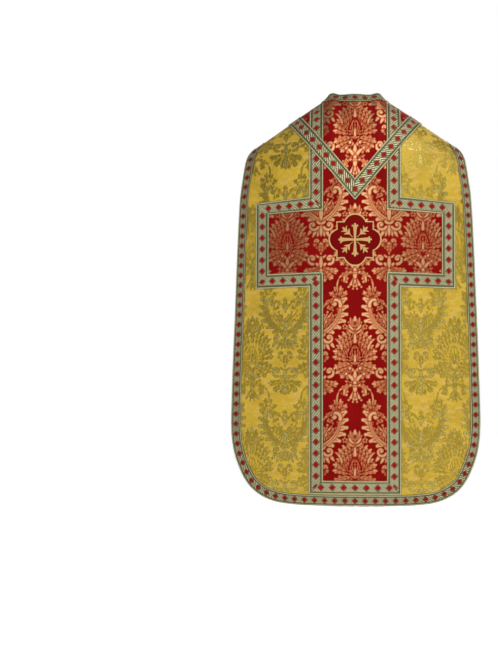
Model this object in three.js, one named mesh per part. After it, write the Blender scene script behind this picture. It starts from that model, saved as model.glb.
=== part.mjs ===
// Roman chasuble, hanging as it is worn: a stiff back and a fiddle-shaped front joined at the shoulders,
// each a damask wall with its lining, with red orphreys, galloon and a medallion laid on it.
// Millimetres, +Z up. The back faces +Y and the front -Y, so +X is the wearer's left. The origin is the
// middle of the neck opening, level with the crest of the shoulders beside the neck.
import * as THREE from 'three';

// The crest is the line over both shoulders, highest at the neck, with a small rise where it meets it.
const CREST = { top: 31, slope: 0.70, round: 40, rise: 9, riseAt: 64, riseSpread: 16 };

// Each side hangs from the crest: it turns down over a drop, reaches its full depth, then falls straight.
// Its depth grows downwards in the middle, and its edges wrap towards the wearer's sides.
const BACK = {
  sign: 1, hem: -1122, depth: 130, flare: 0.0375, drop: 180, neckDrop: 120, dropSpread: 80, turn: 1,
  wrapTop: 92, wrapLow: 62, wrapFrom: -300, wrapTo: -1100,
  troughs: [
    { x: -205, width: 46, depth: 7, lean: -0.03 },
    { x: 188, width: 52, depth: 6, lean: 0.04 },
    { x: 282, width: 30, depth: 5, lean: 0.02 },
    { x: -288, width: 28, depth: 4, lean: -0.01 },
  ],
};
const FRONT = {
  sign: -1, hem: -1061, depth: 128, flare: 0.04, drop: 200, neckDrop: 130, dropSpread: 110, turn: 1.5,
  wrapTop: 140, wrapLow: 68, wrapFrom: -350, wrapTo: -750,
  troughs: [
    { x: -196, width: 44, depth: 6, lean: -0.05 },
    { x: 176, width: 48, depth: 7, lean: 0.05 },
    { x: 268, width: 30, depth: 4, lean: 0.03 },
  ],
};
const WRAP = { reach: 330, power: 2.2 };
const TROUGH = { from: -330, to: -900 };

// The right half of each outline, from the crest to the middle of the hem.
const BACK_EDGE = [
  { x: 281, z: -139.7 }, { x: 291, z: -150 }, { x: 299, z: -162 }, { x: 304.5, z: -178 },
  { x: 307.5, z: -196 }, { x: 312, z: -229 }, { x: 319, z: -286 }, { x: 325, z: -398 },
  { x: 331, z: -565 }, { x: 340, z: -841 }, { x: 340, z: -924 }, { x: 335, z: -970 },
  { x: 324, z: -1010 }, { x: 302, z: -1057 }, { x: 271, z: -1090 }, { x: 225, z: -1112 },
  { x: 171, z: -1119.5 }, { x: 90, z: -1121.7 }, { x: 0, z: -1122 },
];
const FRONT_EDGE = [
  { x: 281, z: -139.7 }, { x: 272, z: -142 }, { x: 254, z: -149 }, { x: 236, z: -161 },
  { x: 221, z: -181 }, { x: 209, z: -211 }, { x: 201, z: -240 }, { x: 198, z: -267 },
  { x: 199, z: -300 }, { x: 205, z: -345 }, { x: 211, z: -400 }, { x: 219, z: -455 },
  { x: 247, z: -560 }, { x: 274, z: -650 }, { x: 296, z: -735 }, { x: 305.5, z: -795 },
  { x: 309, z: -860 }, { x: 303, z: -928 }, { x: 286, z: -980 }, { x: 257, z: -1009 },
  { x: 206, z: -1036 }, { x: 138, z: -1055 }, { x: 60, z: -1060.5 }, { x: 0, z: -1061 },
];

// The neck opening: half an ellipse behind, and a long V in front that ends in a slot.
const NECK = { half: 72, back: 53, slotHalf: 12.7, slotBottom: -256, bendX: 67, bendZ: -36 };

// Widths of the two galloons, half the gap at the shoulder seam, and the gap between pieces side by side.
const EDGE_GALLOON = 29;
const EDGE_AT_CREST = 26;
const SEAM = 0.15;
const GAP = 0.3;

// Layers, measured outwards from the damask's face.
const CLOTH = { from: -1.6, to: 0 };
const LINING = { from: -2.9, to: -1.9 };
const TRIM = { from: 0.3, to: 1.3 };
const OVER = { from: 1.6, to: 2.6 };

// The cross on the back, its galloon included, and the V over it.
const CROSS = {
  outer: 125, inner: 86, armEnd: 273, armRedEnd: 236, armTop: -285, armRedTop: -321,
  armRedBottom: -490, armBottom: -531, topSag: 14, redTopSag: 9, bottomSag: 4, bottom: -1091,
  redBottom: -1054,
};
const VEE = { crestInner: 152, crestOuter: 186, innerTip: -235, outerTip: -296 };
const MEDALLION = { z: -403, lobeAt: 40.5, lobe: 31.5, barb: 50.5 };
const WEDGE = { outer: 168, tip: -112 };

// The front: strips beside the neck opening, the bar under them and the column under the bar.
const STRIP = {
  crest: 150, crestOuter: 184, bend: -88, bendX: 140, bendOuter: 180.5, foot: 91, footOuter: 133, bottom: -268,
};
const BAR = { top: -258, bottom: -296, sag: 7, half: 173 };
const COLUMN = { outer: 121, inner: 84, top: -286, bottom: -1026, redBottom: -991 };

// The lines that every layer is cut along, so that the layers bend alike and never cross.
const FULL = 1200;
const LINES_X = [0, 50, 100, 155, 210, 260, 300, 350];
const LINES_BACK = [12, 28, 45, 90, 140, 210, 310, 450, 620, 800, 960, 1060, 1120, 1160, 1185, 1196];
const LINES_FRONT = [16, 40, 75, 120, 180, 250, 450, 600, 780, 940, 1040, 1100, 1145, 1175, 1190];
const BEYOND = 1206;

const smooth = (from, to, value) => {
  const t = Math.min(Math.max((value - from) / (to - from), 0), 1);
  return t * t * (3 - 2 * t);
};

// The height of the crest above a distance from the middle.
function crest(x) {
  const { top, slope, round, rise, riseAt, riseSpread } = CREST;
  const bump = rise * Math.exp(-(((Math.abs(x) - riseAt) / riseSpread) ** 2));
  return top - slope * (Math.hypot(x, round) - round) + bump;
}

// How far a side hangs from the plane of the crest, below the turn.
function depthAt(side, x, z) {
  const share = smooth(side.wrapFrom, side.wrapTo, z);
  const wrap = side.wrapTop + (side.wrapLow - side.wrapTop) * share;
  let y = side.depth - side.flare * z - wrap * (Math.abs(x) / WRAP.reach) ** WRAP.power;
  for (const { x: at, width, depth, lean } of side.troughs) {
    const off = (x - at - lean * (TROUGH.from - z)) / width;
    y -= depth * smooth(TROUGH.from, TROUGH.to, z) * Math.exp(-off * off);
  }
  return y;
}

// A side's profile in the plane at x: points with their length from the crest.
const legs = new Map();
function leg(side, x) {
  const key = `${side.sign} ${x}`;
  if (legs.has(key)) return legs.get(key);
  const steps = 40;
  const fall = 20;
  const top = crest(x);
  const drop = side.drop + side.neckDrop * Math.exp(-((x / side.dropSpread) ** 2));
  const points = [];
  const add = (z, share) => points.push({ y: share * depthAt(side, x, z), z });
  for (let i = 0; i <= steps; i++) {
    const angle = (i / steps) * (Math.PI / 2);
    add(top - drop * (1 - Math.cos(angle)), Math.sin(angle) ** side.turn);
  }
  for (let z = top - drop - fall; z > side.hem - 2 * fall; z -= fall) add(z, 1);
  points.forEach((p, i) => {
    p.s = i && points[i - 1].s + Math.hypot(p.y - points[i - 1].y, p.z - points[i - 1].z);
  });
  const made = { points, length: 0 };
  made.length = alongWhere(made, (p) => -p.z, -side.hem);
  legs.set(key, made);
  return made;
}

// The length along a profile at which a measure of its points, growing downwards, reaches a value.
function alongWhere({ points }, measure, value) {
  for (let i = 1; i < points.length; i++) {
    const a = measure(points[i - 1]);
    const b = measure(points[i]);
    if (b >= value && b > a) {
      const t = Math.max((value - a) / (b - a), 0);
      return points[i - 1].s + t * (points[i].s - points[i - 1].s);
    }
  }
  return points[points.length - 1].s;
}

// The cloth's own coordinates are x and q. q is the length from the crest, scaled so that the hem's level
// is FULL all the way across, and is negative in front.
function place(x, q) {
  const side = q < 0 ? FRONT : BACK;
  const { points, length } = leg(side, x);
  const s = (Math.abs(q) / FULL) * length;
  let i = 1;
  while (i < points.length - 1 && points[i].s < s) i++;
  const t = (s - points[i - 1].s) / (points[i].s - points[i - 1].s);
  const y = points[i - 1].y + t * (points[i].y - points[i - 1].y);
  const z = points[i - 1].z + t * (points[i].z - points[i - 1].z);
  return new THREE.Vector3(x, side.sign * y, z);
}
const onCloth = (side, x, s) => ({ x, q: (side.sign * s * FULL) / leg(side, x).length });
const atHeight = (side, x, z) => onCloth(side, x, Math.max(alongWhere(leg(side, x), (p) => -p.z, -z), SEAM));
const atDepth = (side, x, y) => onCloth(side, x, Math.max(alongWhere(leg(side, x), (p) => p.y, y), SEAM));
const mirror = ({ x, q }) => ({ x: -x, q });
const mirrorCells = (cells) => cells.map((cell) => cell.map(mirror));
const bothHalves = (path) => [...path, ...[...path].reverse().slice(1).map(mirror)];

// Two rails with as many points each, between corners given by x and height, at most a step of x apart.
// From a corner on the crest they start densely, because the cloth is nearly level there.
function rails(side, lefts, rights, step = 45) {
  const made = [[], []];
  lefts.forEach((b, i) => {
    const a = lefts[i - 1] ?? b;
    const fromCrest = a.z > crest(a.x) - 1;
    const pieces = Math.max(1, Math.ceil(Math.abs(b.x - a.x) / (fromCrest ? step / 1.5 : step)));
    for (let k = i ? 1 : pieces; k <= pieces; k++) {
      const t = fromCrest ? (k / pieces) ** 2 : k / pieces;
      [lefts, rights].forEach((corners, n) => {
        const [from, to] = [corners[i - 1] ?? corners[i], corners[i]];
        made[n].push(atHeight(side, from.x + t * (to.x - from.x), from.z + t * (to.z - from.z)));
      });
    }
  });
  return made;
}
const run = (side, corners, step) => rails(side, corners, corners, step)[0];
const onCrest = (x) => ({ x, z: crest(x) });

// Where a smooth outline, from the crest to the middle of the hem, crosses the cutting lines, and three
// points of the hem below the last line.
function outline(side, table, lines) {
  const spline = new THREE.SplineCurve(table.map(({ x, z }) => new THREE.Vector2(x, z)));
  const fine = spline.getPoints(600).map((p) => atHeight(side, Math.max(p.x, 0), p.y));
  fine[0] = onCloth(side, table[0].x, SEAM);
  const points = [fine[0], ...crossings(fine, lines)];
  const low = points[points.length - 1];
  for (const share of [0.75, 0.4, 0]) points.push(fine.find(({ x }, i) => i > 300 && x <= share * low.x + 0.5));
  return points;
}
function crossings(fine, lines) {
  const points = [];
  for (const line of lines) {
    const i = fine.findIndex(({ q }) => Math.abs(q) >= line);
    if (i < 1) continue;
    const t = (line - Math.abs(fine[i - 1].q)) / (Math.abs(fine[i].q) - Math.abs(fine[i - 1].q));
    points.push({ x: fine[i - 1].x + t * (fine[i].x - fine[i - 1].x), q: Math.sign(fine[i].q) * line });
  }
  return points;
}

// The same path moved sideways on the cloth by a real distance, with mitred corners.
function beside(path, distance) {
  const slope = (x, q) => {
    const step = 1;
    const alongX = place(x + step, q).sub(place(x - step, q)).divideScalar(2 * step);
    const alongQ = place(x, q + step).sub(place(x, q - step)).divideScalar(2 * step);
    return { alongX, alongQ, normal: alongX.clone().cross(alongQ).normalize() };
  };
  return path.map((p, i) => {
    const here = place(p.x, p.q);
    const { alongX, alongQ, normal } = slope(p.x, p.q);
    const turned = (a, b) => normal.clone().cross(b.clone().sub(a)).normalize();
    const sides = [];
    if (i) sides.push(turned(place(path[i - 1].x, path[i - 1].q), here));
    if (i < path.length - 1) sides.push(turned(here, place(path[i + 1].x, path[i + 1].q)));
    const across = sides[0].clone().add(sides[sides.length - 1]).normalize();
    across.multiplyScalar(distance / across.dot(sides[0]));
    const xx = alongX.dot(alongX);
    const xq = alongX.dot(alongQ);
    const qq = alongQ.dot(alongQ);
    const dx = across.dot(alongX);
    const dq = across.dot(alongQ);
    const det = xx * qq - xq * xq;
    return { x: p.x + (dx * qq - dq * xq) / det, q: p.q + (dq * xx - dx * xq) / det };
  });
}

// Cells between two rails of as many points each.
const band = (left, right) => left.slice(1).map((p, i) => [left[i], right[i], right[i + 1], p]);

// Cells of a panel: rows beside the neck opening, rows right across below it, and the hem in one cell.
function panel(edge, neck) {
  const rows = edge.length - 4;
  const depth = Math.abs(neck[neck.length - 1].q) + 1e-6;
  const cells = [];
  for (let i = 1; i <= rows; i++) {
    const [a, b] = [edge[i - 1], edge[i]];
    if (Math.abs(b.q) > depth) {
      cells.push([mirror(a), a, b, mirror(b)]);
    } else {
      cells.push([neck[i - 1], a, b, neck[i]], [neck[i - 1], a, b, neck[i]].map(mirror));
    }
  }
  return [...cells, [...edge.slice(rows), ...edge.slice(rows).reverse().slice(1).map(mirror)]];
}

// Cells between an upper and a lower line of points over the same stretch of x.
function fill(upper, lower) {
  const level = (line, x) => {
    const i = Math.max(line.findIndex((p, k) => k && p.x >= x - 1e-6), 1);
    const [a, b] = [line[i - 1], line[i]];
    return { x, q: a.q + ((x - a.x) / (b.x - a.x)) * (b.q - a.q) };
  };
  const all = [...upper, ...lower].map(({ x }) => x).sort((a, b) => a - b);
  const xs = all.filter((x, i) => !i || x - all[i - 1] > 1e-3);
  return xs.slice(1).map((x, i) => [level(upper, xs[i]), level(upper, x), level(lower, x), level(lower, xs[i])]);
}

// The right half of the neck's rim, from the crest to the middle of the back and to the slot in front.
const fineBackRim = [onCloth(BACK, NECK.half, SEAM)];
for (let turn = 5; turn <= 90; turn += 5) {
  const angle = (turn * Math.PI) / 180;
  fineBackRim.push(atDepth(BACK, NECK.half * Math.cos(angle), NECK.back * Math.sin(angle)));
}
const fineFrontRim = [
  onCloth(FRONT, NECK.half, SEAM),
  ...run(FRONT, [{ x: NECK.bendX, z: NECK.bendZ }, { x: NECK.slotHalf, z: NECK.slotBottom }], 8),
];
const withEnd = (lines, rim) => [...lines, Math.abs(rim[rim.length - 1].q)].sort((a, b) => a - b);
const backLines = withEnd(LINES_BACK, fineBackRim);
const frontLines = withEnd(LINES_FRONT, fineFrontRim);
const rimOn = (fine, lines) => [fine[0], ...crossings(fine, lines)];
const backRim = rimOn(fineBackRim, backLines);
const frontRim = rimOn(fineFrontRim, frontLines);
const backEdge = outline(BACK, BACK_EDGE, backLines);
const frontEdge = outline(FRONT, FRONT_EDGE, frontLines);

// Cells from an upper line down to a level row, and from there to a lower line that bulges downwards.
function fall(upper, lower, q) {
  const row = [{ x: upper[0].x, q }, { x: upper[upper.length - 1].x, q }];
  return [...fill(upper, row), [...row, ...[...lower].reverse()]];
}

const area = (polygon) => polygon.reduce((sum, a, i) => {
  const b = polygon[(i + 1) % polygon.length];
  return sum + (a.x * b.q - b.x * a.q) / 2;
}, 0);

// The part of a convex polygon on the left of the line from a to b.
function leftOf(polygon, a, b) {
  const off = (p) => (b.x - a.x) * (p.q - a.q) - (b.q - a.q) * (p.x - a.x);
  const kept = [];
  polygon.forEach((p, i) => {
    const next = polygon[(i + 1) % polygon.length];
    const [here, there] = [off(p), off(next)];
    if (here >= 0) kept.push(p);
    if ((here > 0 && there < 0) || (here < 0 && there > 0)) {
      const t = here / (here - there);
      kept.push({ x: p.x + t * (next.x - p.x), q: p.q + t * (next.q - p.q) });
    }
  });
  return kept;
}

// The triangles between the cutting lines, with each corner's place and outward normal.
const frame = (() => {
  const xs = [...LINES_X.slice(1).map((x) => -x).reverse(), ...LINES_X];
  const qs = [-BEYOND, ...frontLines.map((q) => -q).reverse(), 0, ...backLines, BEYOND];
  const corners = qs.map((q) => xs.map((x) => {
    const alongX = place(x + 1, q).sub(place(x - 1, q));
    const alongQ = place(x, q + 1).sub(place(x, q - 1));
    return { x, q, at: place(x, q), normal: alongX.cross(alongQ).normalize() };
  }));
  const triangles = [];
  for (let j = 1; j < qs.length; j++) {
    for (let i = 1; i < xs.length; i++) {
      const [a, b] = [corners[j - 1][i - 1], corners[j - 1][i]];
      const [d, c] = [corners[j][i - 1], corners[j][i]];
      triangles.push(...(xs[i] > 0 ? [[a, b, c], [a, c, d]] : [[a, b, d], [b, c, d]]));
    }
  }
  return triangles;
})();

// A point of one of those triangles, moved outwards by a height.
function lift({ x, q }, [a, b, c], height) {
  const whole = area([a, b, c]);
  const shares = [area([{ x, q }, b, c]) / whole, area([a, { x, q }, c]) / whole, area([a, b, { x, q }]) / whole];
  const point = new THREE.Vector3();
  [a, b, c].forEach((corner, i) => {
    point.addScaledVector(corner.at, shares[i]).addScaledVector(corner.normal, shares[i] * height);
  });
  return point;
}

// A layer's solid: its cells are cut along the lines, then given an outer face, an inner face and rims.
function layer(cells, { from, to }) {
  const near = 0.004;
  const points = [];
  const grid = new Map();
  const keyOf = (x, q) => `${Math.round(x)} ${Math.round(q)}`;
  const index = (p, triangle) => {
    for (const dx of [-1, 0, 1]) {
      for (const dq of [-1, 0, 1]) {
        const found = (grid.get(keyOf(p.x + dx, p.q + dq)) ?? []).find(
          (i) => Math.hypot(points[i].x - p.x, points[i].q - p.q) < near);
        if (found !== undefined) return found;
      }
    }
    points.push({ x: p.x, q: p.q, outer: lift(p, triangle, to), inner: lift(p, triangle, from) });
    const key = keyOf(p.x, p.q);
    grid.set(key, [...(grid.get(key) ?? []), points.length - 1]);
    return points.length - 1;
  };
  const pieces = [];
  for (const cell of cells) {
    const whole = area(cell) < 0 ? [...cell].reverse() : cell;
    for (const triangle of frame) {
      const [a, b, c] = triangle;
      if (Math.min(a.x, b.x, c.x) >= Math.max(...whole.map((p) => p.x))) continue;
      if (Math.max(a.x, b.x, c.x) <= Math.min(...whole.map((p) => p.x))) continue;
      if (Math.min(a.q, b.q, c.q) >= Math.max(...whole.map((p) => p.q))) continue;
      if (Math.max(a.q, b.q, c.q) <= Math.min(...whole.map((p) => p.q))) continue;
      const part = leftOf(leftOf(leftOf(whole, a, b), b, c), c, a);
      if (part.length < 3 || area(part) < 1e-3) continue;
      const loop = part.map((p) => index(p, triangle)).filter((v, i, all) => v !== all[(i + 1) % all.length]);
      if (loop.length > 2) pieces.push({ loop, triangle });
    }
  }
  const triangles = [];
  for (const { loop, triangle } of pieces) {
    const full = loop.flatMap((v, i) => {
      const a = points[v];
      const b = points[loop[(i + 1) % loop.length]];
      const long = Math.hypot(b.x - a.x, b.q - a.q);
      const between = [];
      points.forEach((p, k) => {
        const along = ((p.x - a.x) * (b.x - a.x) + (p.q - a.q) * (b.q - a.q)) / long;
        const off = Math.abs((p.x - a.x) * (b.q - a.q) - (p.q - a.q) * (b.x - a.x)) / long;
        if (off < near && along > near && along < long - near) between.push({ k, along });
      });
      return [v, ...between.sort((one, two) => one.along - two.along).map(({ k }) => k)];
    });
    if (full.length === loop.length) {
      for (let i = 2; i < full.length; i++) triangles.push([full[0], full[i - 1], full[i]]);
    } else {
      const middle = { x: 0, q: 0 };
      for (const v of loop) {
        middle.x += points[v].x / loop.length;
        middle.q += points[v].q / loop.length;
      }
      const hub = index(middle, triangle);
      full.forEach((v, i) => triangles.push([hub, v, full[(i + 1) % full.length]]));
    }
  }
  const edges = new Set(triangles.flatMap(([a, b, c]) => [`${a} ${b}`, `${b} ${c}`, `${c} ${a}`]));
  const position = [];
  const put = (...corners) => corners.forEach((p) => position.push(p.x, p.y, p.z));
  for (const [a, b, c] of triangles) {
    put(points[a].outer, points[b].outer, points[c].outer);
    put(points[a].inner, points[c].inner, points[b].inner);
    for (const [p, q] of [[a, b], [b, c], [c, a]]) {
      if (edges.has(`${q} ${p}`)) continue;
      put(points[q].outer, points[p].outer, points[p].inner);
      put(points[q].outer, points[p].inner, points[q].inner);
    }
  }
  const geometry = new THREE.BufferGeometry();
  geometry.setAttribute('position', new THREE.Float32BufferAttribute(position, 3));
  geometry.computeVertexNormals();
  return geometry;
}

const group = new THREE.Group();
function sew(name, cells, thickness, finish) {
  const mesh = new THREE.Mesh(layer(cells, thickness), new THREE.MeshStandardMaterial(finish));
  mesh.name = name;
  group.add(mesh);
}
const GOLD_DAMASK = { color: 0xc6a23c, roughness: 0.45, metalness: 0.1 };
const RED_DAMASK = { color: 0xa01018, roughness: 0.5, metalness: 0 };
const GALLOON = { color: 0x9a9a70, roughness: 0.4, metalness: 0.3 };
const SATIN = { color: 0xb06a1c, roughness: 0.4, metalness: 0 };

// A line across a side at a height, lower towards its ends by a sag that grows beyond the middle stretch.
function level(side, z, half, { sag = 0, middle = 0, power = 1 } = {}) {
  const shares = (count) => Array.from({ length: count }, (_, i) => (i + 1) / count);
  const xs = [0, ...shares(3).map((share) => share * (middle || half))];
  if (middle) xs.push(...shares(4).map((share) => middle + share * (half - middle)));
  const points = xs.map((x) => {
    const share = Math.max(x - middle, 0) / (half - middle || 1);
    return atHeight(side, x, z - sag * share ** power);
  });
  return [...[...points].reverse().slice(0, -1).map(mirror), ...points];
}
const within = (line, half) => line.filter(({ x }) => Math.abs(x) < half + 0.01);

// The walls and their linings.
const backCells = panel(backEdge, backRim);
const frontCells = panel(frontEdge, frontRim);
sew('back_cloth', backCells, CLOTH, GOLD_DAMASK);
sew('front_cloth', frontCells, CLOTH, GOLD_DAMASK);
sew('back_lining', backCells, LINING, SATIN);
sew('front_lining', frontCells, LINING, SATIN);

// The back's red cross, from the neck's rim down, with arms that sag a little.
const redHalf = CROSS.inner - GAP;
const redArm = CROSS.armRedEnd - GAP;
const redTop = [
  { x: -redHalf, q: SEAM }, ...backRim.map(mirror), ...[...backRim].reverse().slice(1), { x: redHalf, q: SEAM },
];
const armTop = level(BACK, CROSS.armRedTop - GAP, redArm, { sag: CROSS.redTopSag, middle: redHalf });
const armBottom = level(BACK, CROSS.armRedBottom + GAP, redArm, { sag: CROSS.bottomSag, middle: redHalf });
sew('back_orphrey', [
  ...fall(redTop, within(armTop, redHalf), LINES_BACK[3]),
  ...fill(armTop, armBottom),
  ...fall(within(armBottom, redHalf), level(BACK, CROSS.redBottom + GAP, redHalf), LINES_BACK[8]),
], TRIM, RED_DAMASK);

// The galloon round the cross: an outer and an inner rail with the same corners.
const crossOuter = [
  onCrest(CROSS.outer), { x: CROSS.outer, z: CROSS.armTop }, { x: CROSS.armEnd, z: CROSS.armTop - CROSS.topSag },
  { x: CROSS.armEnd, z: CROSS.armBottom - CROSS.bottomSag }, { x: CROSS.outer, z: CROSS.armBottom },
  { x: CROSS.outer, z: CROSS.bottom }, { x: 0, z: CROSS.bottom },
];
const crossInner = [
  onCrest(CROSS.inner), { x: CROSS.inner, z: CROSS.armRedTop },
  { x: CROSS.armRedEnd, z: CROSS.armRedTop - CROSS.redTopSag },
  { x: CROSS.armRedEnd, z: CROSS.armRedBottom - CROSS.bottomSag }, { x: CROSS.inner, z: CROSS.armRedBottom },
  { x: CROSS.inner, z: CROSS.redBottom }, { x: 0, z: CROSS.redBottom },
];
const [crossRail, crossRedRail] = rails(BACK, crossOuter, crossInner).map(bothHalves);
sew('galloon_back_cross', band(crossRail, crossRedRail), TRIM, GALLOON);

// The red wedges between the cross and the V, whose outer edges the V covers.
const wedgeTop = [{ x: CROSS.outer + GAP, q: SEAM }, { x: WEDGE.outer, q: SEAM }];
const wedge = fill(wedgeTop, [atHeight(BACK, CROSS.outer + GAP, WEDGE.tip), wedgeTop[1]]);
sew('back_wedge_left', wedge, TRIM, RED_DAMASK);
sew('back_wedge_right', mirrorCells(wedge), TRIM, RED_DAMASK);

const veeRails = rails(BACK, [onCrest(VEE.crestOuter), { x: 0, z: VEE.outerTip }],
  [onCrest(VEE.crestInner), { x: 0, z: VEE.innerTip }]).map(bothHalves);
sew('galloon_back_v', band(...veeRails), OVER, GALLOON);

// The medallion: round lobes above, below and beside a square, whose corners stand out between them.
const medallion = [];
for (let quarter = 0; quarter < 4; quarter++) {
  const turn = (quarter * Math.PI) / 2;
  const shut = Math.asin((MEDALLION.barb - MEDALLION.lobeAt) / MEDALLION.lobe);
  const corner = { u: MEDALLION.barb, v: MEDALLION.barb };
  const arc = Array.from({ length: 6 }, (_, i) => {
    const angle = shut + (i / 5) * (Math.PI - 2 * shut);
    return { u: MEDALLION.lobe * Math.cos(angle), v: MEDALLION.lobeAt + MEDALLION.lobe * Math.sin(angle) };
  });
  for (const { u, v } of [corner, ...arc]) {
    const x = u * Math.cos(turn) - v * Math.sin(turn);
    const z = MEDALLION.z + u * Math.sin(turn) + v * Math.cos(turn);
    medallion.push(atHeight(BACK, x, z));
  }
}
const heart = atHeight(BACK, 0, MEDALLION.z);
sew('back_medallion', medallion.map((p, i) => [heart, p, medallion[(i + 1) % medallion.length]]), OVER,
  RED_DAMASK);

// The front's strips beside the neck opening, with a galloon each, from one border.
const border = (gap) => [
  onCrest(STRIP.crest - gap), { x: STRIP.bendX - gap, z: STRIP.bend }, { x: STRIP.foot - gap, z: STRIP.bottom },
];
const strip = band(...rails(FRONT, border(GAP),
  [onCrest(NECK.half + 1), { x: NECK.bendX - 4, z: NECK.bendZ - 20 }, { x: NECK.slotHalf + 2, z: BAR.top - 6 }]));
sew('front_strip_left', strip, TRIM, RED_DAMASK);
sew('front_strip_right', mirrorCells(strip), TRIM, RED_DAMASK);
const stripGalloon = band(...rails(FRONT, border(0),
  [onCrest(STRIP.crestOuter), { x: STRIP.bendOuter, z: STRIP.bend }, { x: STRIP.footOuter, z: STRIP.bottom }]));
sew('galloon_strip_left', stripGalloon, TRIM, GALLOON);
sew('galloon_strip_right', mirrorCells(stripGalloon), TRIM, GALLOON);

// The bar under the neck opening, over the strips' feet and the column's top.
const bar = { sag: BAR.sag, middle: 40, power: 1.5 };
sew('galloon_front_bar', fill(level(FRONT, BAR.top, BAR.half, bar), level(FRONT, BAR.bottom, BAR.half, bar)),
  OVER, GALLOON);

const columnRails = rails(FRONT,
  [{ x: COLUMN.outer, z: COLUMN.top }, { x: COLUMN.outer, z: COLUMN.bottom }, { x: 0, z: COLUMN.bottom }],
  [{ x: COLUMN.inner, z: COLUMN.top }, { x: COLUMN.inner, z: COLUMN.redBottom }, { x: 0, z: COLUMN.redBottom }]);
sew('galloon_front_column', band(...columnRails.map(bothHalves)), TRIM, GALLOON);
const columnTop = level(FRONT, COLUMN.top, COLUMN.inner - GAP);
const columnFoot = level(FRONT, COLUMN.redBottom + GAP, COLUMN.inner - GAP);
sew('front_orphrey', fall(columnTop, columnFoot, -LINES_FRONT[6]), TRIM, RED_DAMASK);

// The galloon along the edges, from the shoulder seam round the hem to the other shoulder's.
for (const [name, side, edge] of [['galloon_back_edge', BACK, backEdge], ['galloon_front_edge', FRONT, frontEdge]]) {
  const inner = beside(edge, side === BACK ? EDGE_GALLOON : -EDGE_GALLOON);
  inner[0] = onCloth(side, BACK_EDGE[0].x - EDGE_AT_CREST, SEAM);
  const clear = inner.findIndex(({ q }, i) => i && side.sign * q > EDGE_GALLOON / 2);
  for (let i = 1; i < clear; i++) {
    inner[i].x = inner[0].x + (i / clear) * (inner[clear].x - inner[0].x);
    inner[i].q = inner[0].q + (i / clear) * (inner[clear].q - inner[0].q);
  }
  inner[inner.length - 1].x = 0;
  sew(name, band(bothHalves(edge), bothHalves(inner)), TRIM, GALLOON);
}

// The neck's galloon, in one length over the shoulder seams, from the slot up and round to the slot again.
const rim = [...frontRim.slice(1)].reverse().concat({ x: NECK.half, q: 0 }, backRim.slice(1));
const rimInner = beside(rim, -EDGE_GALLOON);
rimInner[rimInner.length - 1].x = 0;
rimInner[0] = atHeight(FRONT, 41, BAR.top + 3 * GAP);
sew('galloon_neck', band(bothHalves(rim), bothHalves(rimInner)), OVER, GALLOON);

export default group;
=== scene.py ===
"""Roman chasuble: cloth, linings, galloons and medallion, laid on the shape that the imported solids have.

Lengths are millimetres until a mesh is written, and then metres. Cloth points are (x, q) pairs: q is the
length from the crest over the shoulders, scaled so that the level of a hem is FULL, and negative in front.
"""
import logging
import math
from dataclasses import dataclass
from enum import Enum
from typing import Optional, Sequence

import bmesh
import bpy
import numpy as np
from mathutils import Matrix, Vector


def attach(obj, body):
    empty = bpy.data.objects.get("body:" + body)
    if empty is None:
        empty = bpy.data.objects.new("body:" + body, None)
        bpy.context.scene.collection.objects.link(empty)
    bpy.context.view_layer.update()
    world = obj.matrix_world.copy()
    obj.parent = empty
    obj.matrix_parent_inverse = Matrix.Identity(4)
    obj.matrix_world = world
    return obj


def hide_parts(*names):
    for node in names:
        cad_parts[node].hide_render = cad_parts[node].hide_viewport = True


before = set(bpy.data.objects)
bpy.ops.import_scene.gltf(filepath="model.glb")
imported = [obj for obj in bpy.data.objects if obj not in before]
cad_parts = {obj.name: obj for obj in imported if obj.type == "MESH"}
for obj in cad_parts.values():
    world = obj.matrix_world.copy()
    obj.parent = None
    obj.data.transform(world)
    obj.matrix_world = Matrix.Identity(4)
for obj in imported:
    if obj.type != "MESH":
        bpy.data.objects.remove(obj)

log = logging.getLogger("chasuble")

MM = 0.001
FULL = 1200.0
SEAM = 0.16  # how near to the crest's line the cloth of a side begins
GAP = 0.3  # how far a red piece stays inside the galloon's edge over it
WELD = 2e-5
# Heights of the layers above the damask's face.
LINING_AT, RED_AT, GALLOON_AT, OVER_AT, WORK_AT = -1.9, 1.0, 1.1, 2.2, 2.3
Array, Pair = np.ndarray, tuple[float, float]
Material, Object, Socket = bpy.types.Material, bpy.types.Object, bpy.types.NodeSocket
Pieces = dict[str, Object]
Rgb = tuple[float, float, float]


class Side(Enum):
    """The two sides that hang from the crest; the value is the sign of q and of Y."""

    BACK = 1
    FRONT = -1


@dataclass(frozen=True)
class Trough:
    """A soft upright fold: where it lies, how wide and deep it is, and how much it leans."""

    x: float
    width: float
    depth: float
    lean: float


@dataclass(frozen=True)
class Hang:
    """How one side hangs: it turns down from the crest over a drop and then falls straight."""

    hem: float
    depth: float
    flare: float
    drop: float
    neck_drop: float
    drop_spread: float
    turn: float
    wrap_top: float
    wrap_low: float
    wrap_from: float
    wrap_to: float
    troughs: tuple[Trough, ...]


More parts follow.
